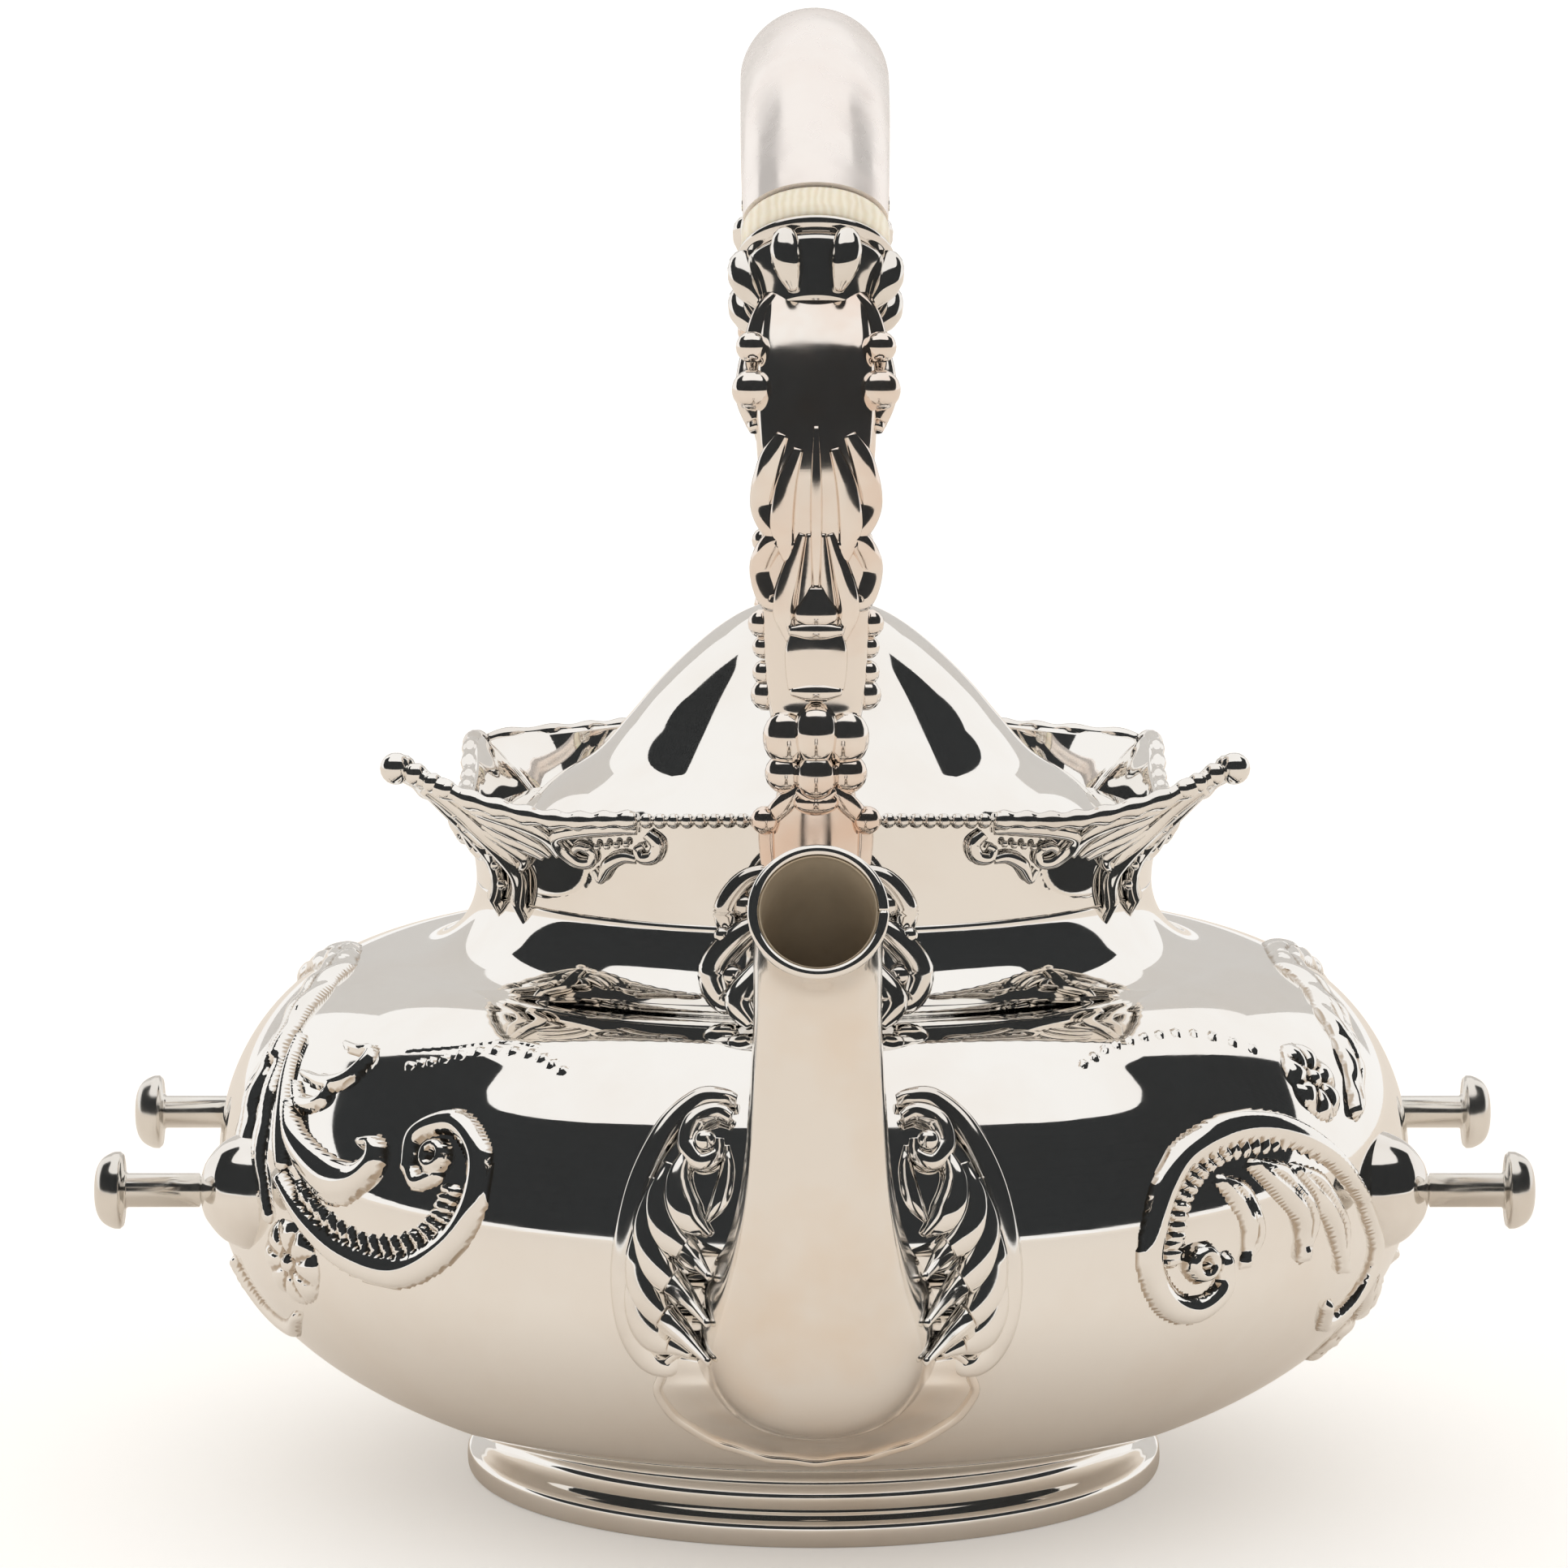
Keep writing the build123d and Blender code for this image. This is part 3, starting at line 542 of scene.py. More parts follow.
# %% The spout's lip on the bowl
skirt = Metal()
RIM_HALF = [(14.5, 44.5), (17.5, 41.5), (20.4, 39.0), (22.8, 36.6), (23.4, 33.4), (22.6, 30.4),
            (20.6, 27.6), (17.6, 25.0), (14.2, 22.9), (10.6, 21.2), (7.0, 20.0), (3.5, 19.3), (0, 19.0)]
RIM_LOBES = 11
rim_line = smooth_line(RIM_HALF + [(-x, z) for x, z in RIM_HALF[-2::-1]], 240)
lobes = 0.5 + 0.5 * np.cos(np.linspace(0, 1, len(rim_line)) * 2 * math.pi * RIM_LOBES)
rim_line = rim_line * (1 + 0.02 * (lobes - 0.5))[:, None]
middle = np.array([0, 42.0])
START = 0.25                                             # the fan begins well under the spout
rows = []
for share in np.linspace(START, 1, 30):
    flat_point = middle + (rim_line - middle) * share
    radius = np.interp(flat_point[:, 1], outside[:LOWER_BODY, 1], outside[:LOWER_BODY, 0])
    on_bowl = -np.sqrt(np.clip(radius ** 2 - flat_point[:, 0] ** 2, 0, None))
    out = (share - START) / (1 - START)
    swell = (0.5 + 0.5 * math.cos(math.pi * out)) ** 0.85
    depth = on_bowl - 0.9 - 13.5 * swell - 0.7 * lobes * math.sin(math.pi * out) * out
    rows.append(np.stack([flat_point[:, 0], depth, flat_point[:, 1]], 1))
rows.append(rows[-1] + [0, 2.0, 0])
skirt.skin(np.array(rows), wrap=False)
skirt.wire(rows[-2] - [0, 0.1, 0], 0.7, 10)
skirt.made("spout_lip_on_bowl", "kettle")

# %% [markdown]
# ## The handle
# The front and rear arms are the same hollow casting, turned about. From the shoulder up there
# is a shell-shaped foot, a knuckle of three lobes, a leaf that wraps the upright, and a scrolled
# shoulder under the socket.

# %% Handle line
GRIP_R = 11.75
GRIP_WALL = 1.6
HALF_SPAN = 40.0                                         # from the middle of the grip to its end
GRIP_ANGLE = math.radians(53.1)
GRIP_ARC = HALF_SPAN / math.sin(GRIP_ANGLE)
GRIP_TOP = size_of("grip_upper_shell")[1][2]
grip_centre = GRIP_TOP - GRIP_R - GRIP_ARC
ARM_Y = 62.5


def grip_ring(angle, radius, sides=64):
    """A ring round the grip at an angle from its top, negative towards the spout."""
    a = np.linspace(0, 2 * math.pi, sides, endpoint=False)
    r = GRIP_ARC + radius * np.sin(a)
    return np.stack([radius * np.cos(a), r * math.sin(angle), grip_centre + r * math.cos(angle)], 1)


def beyond_grip(distance, radius, sides=64, end=-1):
    """A ring on the straight run past the end of the grip."""
    c, s = math.cos(GRIP_ANGLE), math.sin(GRIP_ANGLE)
    ring_points = grip_ring(GRIP_ANGLE * end, radius, sides)
    return ring_points + np.array([0, end * c, -s]) * distance


print("grip bends on a radius of", round(GRIP_ARC, 1), "mm about a centre", round(grip_centre, 1), "mm up")


# %% [markdown]
# The grip is two half shells, soldered along the sides. Each half is a row of C-shaped sections
# with an outer and an inner face. It is a little thinner at its ends, and a shallow groove marks
# the soldered seam.

# %% Grip
def grip_face(a, radius, angle):
    """One side of a shell's section at an angle from the grip's top."""
    r = GRIP_ARC + radius * np.sin(a)
    return np.stack([radius * np.cos(a), r * math.sin(angle), grip_centre + r * math.cos(angle)], 1)


for half, name in ((0, "upper"), (1, "lower")):
    grip = Metal()
    a = np.linspace(0, math.pi, 40) + math.pi * half
    seam_groove = 1 - 0.030 * np.exp(-((np.abs(np.cos(a)) - 1) / 0.004) ** 2)
    skin_rows = []
    for angle in np.linspace(-GRIP_ANGLE, GRIP_ANGLE, 90):
        radius = GRIP_R * (1 - 0.05 * abs(angle / GRIP_ANGLE) ** 3) * seam_groove
        skin_rows.append(np.vstack([grip_face(a, radius, angle),
                                    grip_face(a[::-1], radius[::-1] - GRIP_WALL, angle)]))
    grip.skin(np.array(skin_rows), cap=True)
    grip.made(f"grip_{name}", "kettle", [f"grip_{name}_shell"], "grip_silver", 50)

# %% [markdown]
# A cream disc sits at each end of the grip and keeps the heat of the arms out of it. Below it the
# arm opens into a cup dressed with petals. Both are rings stacked along the straight run on which
# the grip ends, so they follow its slant.

# %% Heat breaks and cups
PETALS = 8
for end, name in ((-1, "front"), (1, "rear")):
    disc = Metal()
    outline = smooth_line([(0.2, 8.6), (0.5, 10.6), (1.6, 11.25), (3.0, 11.3), (4.4, 11.25), (5.5, 10.6),
                           (5.8, 8.6)], 40)
    disc.skin(np.array([beyond_grip(d, r, 80, end) for d, r in outline]), cap=True)
    disc.made(f"heat_break_{name}", "kettle", [f"{name}_insulator"], "ivory_insulator")
    cup = Metal()
    outline = smooth_line([(5.9, 9.0), (6.0, 11.2), (6.8, 12.0), (7.8, 11.5), (8.6, 10.6), (9.4, 11.4),
                           (10.6, 11.8), (13.0, 10.8), (16.0, 9.2), (18.5, 8.0)], 70)
    cup.skin(np.array([beyond_grip(d, r, 80, end) for d, r in outline]), cap=True)
    for k in range(PETALS):
        a = 2 * math.pi * (k + 0.5) / PETALS
        line = []
        for d, r in smooth_line([(8.2, 10.6), (10.5, 12.0), (14.0, 11.2), (17.5, 8.6)], 26):
            corners = beyond_grip(d, r, 4, end)
            centre = corners.mean(0)
            line.append(centre + (corners[0] - centre) * math.cos(a) + (corners[1] - centre) * math.sin(a))
        cup.wire(line, between([.8, 2.1, 2.3, .8], 26), 12)
    cup.made(f"calyx_{name}", "kettle", [f"{name}_socket"])

# %% [markdown]
# ### The arms
# Each arm is a band whose width and depth change as it rises, with ribs, lobes and beads laid
# over it. The rear arm uses the same recipe, turned half round.

# %% Arms
ARM_LINE = [  # distance out, height, half width, half depth
    (ARM_Y + .5, 100, 6.6, 3.6), (ARM_Y + .5, 106, 6.4, 3.4), (ARM_Y, 114, 6.6, 3.6),
    (ARM_Y, 122, 5.6, 3.6), (ARM_Y, 130, 6.8, 4.0), (ARM_Y, 134, 7.4, 3.8), (ARM_Y, 146, 8.0, 3.9),
    (ARM_Y, 156, 8.1, 4.0), (ARM_Y - .2, 164, 8.4, 4.4), (ARM_Y - 1.0, 171, 8.9, 4.9),
    (ARM_Y - 2.8, 178, 9.2, 5.3), (ARM_Y - 6.2, 184, 8.9, 5.6), (ARM_Y - 10.8, 188.6, 8.7, 6.2),
    (ARM_Y - 14, 192.4, 8.6, 6.6)]
arm_line = smooth_line(ARM_LINE, 150)
arm_run = np.gradient(arm_line[:, :2], axis=0)
arm_run /= np.linalg.norm(arm_run, axis=1, keepdims=True)


def on_arm(height, across=0.0, lift=0.0):
    """Point on the outer face of an arm: height, share of the half width, and lift off the face."""
    height, across, lift = np.broadcast_arrays(np.asarray(height, float), across, lift)
    y, w, d = (np.interp(height, arm_line[:, 1], arm_line[:, k]) for k in (0, 2, 3))
    ty, tz = (np.interp(height, arm_line[:, 1], arm_run[:, k]) for k in (0, 1))
    crown = d * np.sqrt(np.clip(1 - np.abs(across) ** 3, 0, 1)) + lift
    return np.stack([across * w, y + crown * tz, height - crown * ty], -1)


def put(points, end):
    """The same points at the front (-1) or the rear (1)."""
    points = np.array(points, float)
    points[..., 1] *= end
    return points


def rounded(wide, deep, square, sides=56):
    """A rectangle with rounded corners; square above 2 sharpens them."""
    a = np.linspace(0, 2 * math.pi, sides, endpoint=False)
    c, s = np.cos(a), np.sin(a)
    return (wide * np.sign(c) * np.abs(c) ** (2 / square), deep * np.sign(s) * np.abs(s) ** (2 / square))


def arm_casting(end, name):
    """One arm: a plain band with all its lobes, leaves and beads."""
    arm = Metal()

    def rib(line, radius, count=50, lift=0.0, flat=0.8):
        """A rod on the outer face through (share across, height) points."""
        path = smooth_line(line, count)
        points = put(on_arm(path[:, 1], path[:, 0], lift), end)
        arm.wire(points, between(radius, count), 12, flat, (0, end, 0.001))

    def bead(centre, radius, turns=22, scale=(1, 1, 1)):
        """A lobe or a bead."""
        arm.ball(put(centre, end), radius, turns, scale)

    rows = []
    for (y, z, wide, deep), (run_y, run_z) in zip(arm_line, arm_run):
        x, v = rounded(wide, deep, 3.2)
        rows.append(np.stack([x, y + v * run_z, z - v * run_y], 1))
    arm.skin(put(rows, end), cap=True)
    for m in (-1, 1):
        # scrolled shoulder: a raised edge that ends in a ball on each side
        rib([(m * .70, 189.5), (m * .90, 187.5), (m * 1.04, 183.5), (m * 1.08, 178), (m * .98, 173)],
            [.8, 1.7, 2.1, 2.1, 1.2], 60)
        bead([m * 9.5, ARM_Y + 0.2, 179.2], 3.1)
        bead([m * 9.6, ARM_Y - 2.6, 185.4], 2.4, 20)
        rib([(m * .55, 172), (m * .78, 168), (m * .92, 162), (m * .70, 158), (m * .45, 160)],
            [1.0, 2.0, 2.2, 1.6, .8], 60)
        rib([(m * .30, 170), (m * .52, 165), (m * .62, 159), (m * .50, 154)], [.8, 1.7, 2.0, .9], 50)
        # the wrapping leaf: two tiers of curled lobes
        rib([(m * .42, 156), (m * .72, 157), (m * .96, 153), (m * .84, 148), (m * .56, 148)],
            [.8, 1.8, 2.2, 1.8, .9], 60)
        rib([(m * .25, 158), (m * .45, 153), (m * .60, 147), (m * .48, 142)], [.6, 1.4, 1.8, .8], 50)
        rib([(m * .12, 158), (m * .20, 150), (m * .24, 143), (m * .14, 138)], [.5, 1.1, 1.4, .7], 50)
        # bead pairs down the sides
        for z, r in ((144, 2.3), (140.4, 1.8), (136.6, 2.0), (133.2, 2.5)):
            bead(on_arm(z, m * 1.0, -1.5), r, 16)
        # the three-lobed knuckle
        bead([m * 4.2, ARM_Y + 2.4, 127.2], 4.0, 26, (.95, .85, 1.1))
        bead([m * 4.6, ARM_Y + 2.2, 121.8], 3.1)
        # the shell foot with a ball on each side
        rib([(m * .30, 120), (m * .66, 118), (m * 1.00, 114), (m * 1.02, 108), (m * .90, 101)],
            [.8, 1.6, 1.8, 1.7, 1.3], 60)
        bead([m * 7.6, ARM_Y + 1.6, 114.6], 2.2, 20)
    rib([(0, 173), (0, 165), (0, 157), (0, 150)], [.4, .9, .9, .4], 40, 0.2)
    rib([(0, 150), (0, 146), (0, 143.5)], [1.2, 3.4, 1.6], 40, 0.4, .6)
    # a plain tongue with a cuff above and below it
    tongue = smooth_line([(0, 144), (0, 134.6)], 20)
    arm.wire(put(on_arm(tongue[:, 1], tongue[:, 0], .4), end), between([3.6, 4.6, 4.6, 4.2], 20),
             24, .34, (0, end, .001))
    for z in (143.6, 134.4):
        arm.wire(put(on_arm(np.full(20, z), np.linspace(-.5, .5, 20), .9), end),
                 between([.7, 1.5, 1.5, .7], 20), 10)
    bead([0, ARM_Y + 3.4, 127.8], 4.6, 28, (.8, .9, 1.1))
    bead([0, ARM_Y + 4.4, 121.6], 3.1, 22, (1, .9, 1.2))
    bead([0, ARM_Y + 3.6, 117.6], 2.5, 20, (1.4, .9, .8))
    rib([(-.5, 119.6), (0, 118.2), (.5, 119.6)], [.5, 1.3, .5], 30, 1.2)
    arm.made(f"arm_{name}", "kettle", [f"{name}_arm"])


print("an arm rises through", len(arm_line), "sections")


# %% [markdown]
# Under each arm a leaf spreads the load over the thin shoulder, to which it is soldered. Its core
# is a block that widens as it goes down, and rods with curled ends lie over it.

# %% Seats of the arms, and both ends made
def seat_leaf(end, name):
    """The leaf between an arm and the shoulder."""
    seat = Metal()
    inner, outer_top = ARM_Y - 5.5, ARM_Y + 4.2
    rows = []
    for share in np.linspace(0, 1, 26):
        y = outer_top + 9.5 * share ** 3
        x, v = rounded(7.6 + 4.2 * share ** 2, (y - inner) / 2, 3)
        rows.append(np.stack([x, (inner + y) / 2 + v, np.full(len(x), 104 - 19 * share)], 1))
    seat.skin(put(rows, end), cap=True)

    def lobe(line, radius, count=40):
        """A curled rod; its points are given from the arm's axis."""
        line = smooth_line([(x, ARM_Y + out, z) for x, out, z in line], count)
        seat.wire(put(line, end), between(radius, count), 12)

    for m in (-1, 1):
        lobe([(m * 6, 1, 107), (m * 10.5, .5, 105.4), (m * 13.5, 0, 101), (m * 12.0, 0, 97),
              (m * 9.2, 1.2, 98)], [1.0, 1.6, 2.0, 1.8, 1.0], 60)
        lobe([(m * 7, 3, 100), (m * 11.5, 2.4, 97), (m * 15.2, 2, 92), (m * 13.6, 3, 87.6),
              (m * 10.0, 5, 88.4)], [1.2, 2.2, 2.6, 2.4, 1.2], 60)
        lobe([(m * 5, 5, 96), (m * 8.6, 6.4, 92), (m * 11.4, 8, 88), (m * 9.4, 10, 84.8)],
             [1.2, 2.2, 2.4, 1.2], 50)
        lobe([(m * 2, 6, 95), (m * 4, 8.8, 90), (m * 5.6, 11.4, 85)], [1.2, 2.2, 1.6])
        seat.ball(put([m * 10.6, ARM_Y + .5, 101.4], end), 2.0, 18)
        seat.ball(put([m * 12.6, ARM_Y + 3, 91.2], end), 1.9, 18)
        seat.ball(put([m * 14.0, ARM_Y + 2.4, 97.2], end), 1.4, 16)
    lobe([(0, 5, 100), (0, 9, 90), (0, 12, 84)], [1.4, 2.6, 1.8])
    seat.made(f"seat_{name}", "kettle", [f"{name}_mount"])


for end, name in ((-1, "front"), (1, "rear")):
    arm_casting(end, name)
    seat_leaf(end, name)

# %% [markdown]
# ## Chased ornament
# The scrolls and flowers on the body are pushed up from inside and sharpened from outside. Each
# panel is a fine sheet that follows the body just under its surface. Marks raise it: rolls are
# round ridges, leaves have a vein and ribs, and daisies have petals. Only what is raised shows.


# %% Marks that raise a panel
RELIEF = 1.35                                            # how boldly the marks are pushed out
SUNK = 0.12                                              # how far a bare panel lies under the body


def raised_by(turn, up, marks):
    """Height of the relief at every point of a panel, in millimetres.

    A mark is (kind, centre or line, width, height, and the petals with their squash or the ribs).
    """
    per_degree = math.radians(BODY_R)
    x, height = turn * per_degree, np.zeros(turn.shape)
    for kind, place, width, tall, extra in marks:
        if kind == "daisy":
            dx, dy = x - place[0] * per_degree, (up - place[1]) * extra[1]
            far, angle = np.hypot(dx, dy) / width, np.arctan2(dy, dx)
            petal = np.sqrt(np.clip(1 - ((far - 0.62) / 0.40) ** 2, 0, 1))
            petal = petal * (0.35 + 0.65 * np.abs(np.cos(extra[0] * angle / 2)) ** 0.6)
            heart = np.sqrt(np.clip(1 - (far / 0.24) ** 2, 0, 1))
            height = np.maximum(height, tall * np.maximum(petal, 1.15 * heart))
            continue
        line = smooth_line(place, 120) * [per_degree, 1]
        wide = between(width if np.ndim(width) else [width, width], 120)
        near = np.full(turn.shape, 1e9)
        along = np.zeros(turn.shape)
        for k, (px, py) in enumerate(line):
            far = np.hypot(x - px, up - py) / max(wide[k], 0.05)
            closer = far < near
            near[closer], along[closer] = far[closer], k / 119
        if kind == "roll":
            lift = np.sqrt(np.clip(1 - near ** 2, 0, 1))
        else:                                            # leaf: a vein, slanted ribs, scalloped edge
            ribs = 0.5 + 0.5 * np.cos(2 * math.pi * (extra * along - 0.5 * near))
            reach = near * (1.0 + 0.14 * (1 - ribs))
            lift = np.sqrt(np.clip(1 - reach ** 2, 0, 1)) * (0.80 + 0.20 * ribs)
            lift = lift * (1 - 0.30 * np.exp(-(near / 0.12) ** 2))
        height = np.maximum(height, tall * lift)
    return height


def panel(name, turns, ups, marks, step=0.5):
    """A chased panel; where nothing is raised it stays hidden under the body."""
    count_a = int(math.radians(turns[1] - turns[0]) * BODY_R / step)
    count_b = int((ups[1] - ups[0]) / step)
    turn, up = np.meshgrid(np.linspace(*turns, count_a), np.linspace(*ups, count_b))
    lift = raised_by(turn, up, marks)
    sheet = Metal()
    sheet.skin(on_body(turn, up, RELIEF * lift - SUNK), wrap=False)
    sheet.made(name, "kettle")


def gadroons(inner, outer, count, width, tall):
    """Short ribs set side by side between two curves."""
    first, last = smooth_line(inner, count), smooth_line(outer, count)
    return [("roll", [a, (a + b) / 2, b], [width * .7, width, width * .6], tall, 0)
            for a, b in zip(first, last)]


# %% [markdown]
# The left motif is an S-scroll with a ribbed inside and an eye at its end, a curled leaf in its
# bend, a daisy below and sprays that run on round the side. Places are degrees round from the
# spout and millimetres up from the seam.

# %% The left motif
left_scroll = [(-59, 10.5), (-53.3, 4.8), (-47.5, 1.6), (-40.8, 1.2), (-35.2, 6.4), (-32.6, 13.2),
               (-32.9, 20.5), (-36.5, 25.0), (-40.6, 22.4), (-40.6, 17.2)]
left_marks = [
    ("roll", left_scroll, [1.4, 2.2, 2.5, 2.5, 2.5, 2.4, 2.2, 2.0, 1.6, 1.2], 1.5, 0),
    ("roll", [(-40.4, 17.0), (-39.2, 15.2), (-37.2, 16.6)], [1.2, 1.3, 1.4], 1.3, 0),
    ("daisy", (-37.6, 19.4), 2.6, 1.9, (0, 1)),
    ("roll", [(-67.7, 32), (-65.4, 27.0), (-62.8, 21.5), (-61.0, 16.5), (-59.6, 13.0)],
     [.7, 1.2, 1.6, 1.9, 1.4], 1.2, 0),
    ("roll", [(-60.4, 22.0), (-58.4, 18.0), (-54.8, 14.9), (-50.5, 13.0), (-47.0, 14.0), (-45.0, 17.0),
              (-45.4, 19.6), (-46.8, 19.4)], [.8, 1.9, 2.8, 3.2, 2.6, 1.9, 1.2, .9], 2.0, 0),
    ("roll", [(-56.6, 13.6), (-52.6, 10.8), (-49.0, 10.4), (-46.8, 11.6)], [.6, 1.2, 1.1, .5], 1.0, 0),
    ("roll", [(-62.1, 25.2), (-60.2, 22.9), (-58.0, 22.7), (-55.9, 24.0), (-55.6, 25.4)],
     [.6, 1.2, 1.4, 1.1, .8], 1.2, 0),
    ("roll", [(-61.6, 27.0), (-56.9, 26.8), (-53.7, 28.5), (-52.5, 31.9), (-53.0, 33.9),
              (-54.9, 33.4), (-57.4, 33.6)], [.6, 1.4, 1.6, 1.3, 1.0, .8, .6], 1.2, 0),
    ("daisy", (-57.6, -2.0), 8.2, 1.1, (8, 1.25)),
    ("leaf", [(-66, 4), (-70, 14), (-72, 25), (-73.5, 36)], [2.0, 3.6, 3.2, 1.0], 1.2, 4),
    ("leaf", [(-62, 4), (-65, 12), (-67, 21), (-70, 30)], [1.4, 2.2, 2.2, .8], 1.0, 3),
    ("leaf", [(-70, 28), (-76, 37), (-83, 43), (-92, 46)], [2.0, 4.4, 4.4, 1.6], 1.6, 4),
    ("roll", [(-60, -12), (-66, -17), (-73, -16), (-76, -9)], [.8, 1.7, 1.7, .8], 1.0, 0),
    ("leaf", [(-76, -8), (-81, -14), (-88, -16), (-95, -10)], [1.2, 3.0, 3.0, 1.0], 1.1, 4)]
left_marks += gadroons(
    [(-56.0, 11.0), (-51, 7.6), (-45.6, 5.6), (-40.6, 6.6), (-37.2, 10.4), (-36.0, 15.0)],
    [(-54.6, 8.6), (-50, 5.2), (-45.0, 3.2), (-39.6, 4.2), (-35.4, 9.4), (-34.2, 14.6)], 19, 0.75, 0.9)
left_marks += [("daisy", (a, u), 0.85, 0.55, (0, 1)) for a, u in
               smooth_line([(-46, 33), (-42.4, 35.0), (-37.4, 38.1), (-31.5, 38.6), (-27, 36)], 12)]
left_marks += [("roll", [(-48, 35.4), (-42, 37.8), (-36, 40.6), (-29, 40.4)], .35, 0.35, 0)]
print("left motif:", len(left_marks), "marks")

# %% [markdown]
# The right motif turns the other way: a large C-scroll with three leaves inside it, a daisy
# above and sprays behind.

# %% The right motif
right_scroll = [(62, 7.0), (56.6, 15.0), (51.5, 20.0), (46.5, 22.4), (41.6, 22.4), (36.4, 20.0),
                (33.4, 15.4), (31.8, 9.6), (31.4, 4.0), (33.2, -1.6), (36.6, -3.8), (39.6, -1.2),
                (39.9, 3.0)]
right_marks = [
    ("roll", right_scroll, [1.2, 1.9, 2.4, 2.5, 2.5, 2.5, 2.4, 2.3, 2.3, 2.3, 2.1, 1.8, 1.4], 1.5, 0),
    ("daisy", (36.9, 3.6), 3.0, 2.1, (0, 1)),
    ("leaf", [(40.0, 15.2), (42.6, 11.6), (43.6, 6.6), (42.4, 2.0)], [1.0, 2.6, 2.4, .8], 1.4, 2),
    ("leaf", [(44.5, 16.6), (48.8, 12.2), (51.2, 6.6), (50.6, 1.0)], [1.2, 3.2, 2.8, 1.0], 1.7, 2),
    ("leaf", [(50.0, 14.6), (54.2, 9.6), (57.0, 3.6), (58.0, -3.0)], [1.2, 3.0, 2.6, 1.0], 1.5, 2),
    ("daisy", (58.5, 27.0), 6.4, 1.2, (7, .95)),
    ("leaf", [(64, 20), (69, 27), (74, 35), (80, 41)], [1.6, 3.6, 3.6, 1.2], 1.4, 4),
    ("leaf", [(70, 28), (77, 36), (84, 43), (92, 46)], [2.0, 4.2, 4.2, 1.4], 1.5, 4),
    ("roll", [(62, 7), (66, -2), (64, -10), (59, -13), (57, -9)], [1.2, 1.9, 1.8, 1.4, 1.0], 1.2, 0),
    ("leaf", [(66, -6), (71, -13), (78, -17), (86, -15)], [1.4, 3.2, 3.0, 1.0], 1.2, 4),
    ("daisy", (71, -22), 4.6, 1.0, (6, .9))]
right_marks += gadroons(
    [(54.5, 15.2), (50.6, 18.0), (46.0, 18.6), (41.8, 18.4), (38.2, 16.4), (35.9, 12.8), (34.9, 8.4),
     (34.6, 4.4)],
    [(54.9, 16.8), (50.9, 19.8), (46.2, 20.6), (41.2, 20.4), (37.0, 17.9), (34.4, 13.6), (33.4, 8.6),
     (33.0, 4.2)], 24, 0.75, 0.9)
right_marks += [("daisy", (a, u), 0.85, 0.55, (0, 1)) for a, u in
                smooth_line([(29, 37), (34, 40), (40, 41), (46.5, 39.8), (52.5, 34.6)], 12)]
print("right motif:", len(right_marks), "marks")


# %% Panels at the front and the rear
def moved(marks, by):
    """The same marks, so many degrees further round the kettle."""
    return [(kind, np.array(place, float) + [by, 0], width, tall, extra)
            for kind, place, width, tall, extra in marks]


for start, where in ((0, "front"), (180, "rear")):
    panel(f"chasing_{where}_left", (start - 98, start - 24), (-28, 52), moved(left_marks, start))
    panel(f"chasing_{where}_right", (start + 24, start + 98), (-28, 52), moved(right_marks, start))

# %% [markdown]
# ## The pins the kettle hangs by
# Four headed pins, each in a domed boss soldered to the side.

# %% Pins and bosses
PIN_Y, PIN_Z = 32.4, 51.5
BOSS = [(86.0, 9.4), (89.0, 9.2), (92.4, 7.6), (94.8, 4.9), (95.6, 3.2)]      # distance out, radius
SHANK = [(92.1, 2.0), (95.9, 2.0), (96.2, 2.65), (107.4, 2.65), (107.9, 3.2), (108.1, 5.6)]
HEAD = [(108.6, 6.05), (109.8, 5.9), (111.4, 4.9), (112.3, 3.1)]


def spun_sideways(outline, x, y, turns):
    """An outline of (distance out, radius) points spun about a pin's axis."""
    a = np.linspace(0, 2 * math.pi, turns, endpoint=False)
    rows = [np.stack([np.full(turns, x * out), y * PIN_Y + r * np.cos(a), PIN_Z + r * np.sin(a)], 1)
            for out, r in outline]
    metal = Metal()
    metal.skin(np.array(rows), cap=True)
    return metal


def furthest_out(node):
    """How far a solid reaches to the side, in millimetres."""
    return max(abs(corner[0]) for corner in size_of(node))


for x, side in ((-1, "left"), (1, "right")):
    for y, end in ((-1, "front"), (1, "rear")):
        boss, trunnion = f"pin_boss_{end}_{side}", f"trunnion_{end}_{side}"
        dome = smooth_line(BOSS + [(furthest_out(boss), 2.05)], 50)
        spun_sideways(dome, x, y, 96).made(f"boss_{end}_{side}", "kettle", [boss])
        head = smooth_line(HEAD + [(furthest_out(trunnion), 0.05)], 30)
        spun_sideways(np.vstack([SHANK, head]), x, y, 64).made(f"pin_{end}_{side}", "kettle", [trunnion])

# %% [markdown]
# ## Finishes
# Everything outside is silver plate: a bright mirror with faint polishing scratches, a slightly
# uneven surface, and warm tarnish that gathers where a cloth doesn't reach. One function mixes
# them all. Pointiness tells a shader how hollow a place is, which finds the bottoms of the marks.


# %% Silver
def shader_nodes(name):
    """A new material, its node tree's add function and its main shader."""
    material = bpy.data.materials.new(name)
    material.use_nodes = True
    tree = material.node_tree
    shader = tree.nodes["Principled BSDF"]

    def node(kind, inputs=None, **settings):
        made = tree.nodes.new(kind)
        for key, value in settings.items():
            setattr(made, key, value)
        for key, value in (inputs or {}).items():
            if isinstance(value, bpy.types.NodeSocket):
                tree.links.new(value, made.inputs[key])
            else:
                made.inputs[key].default_value = value
        return made

    return material, tree, shader, node


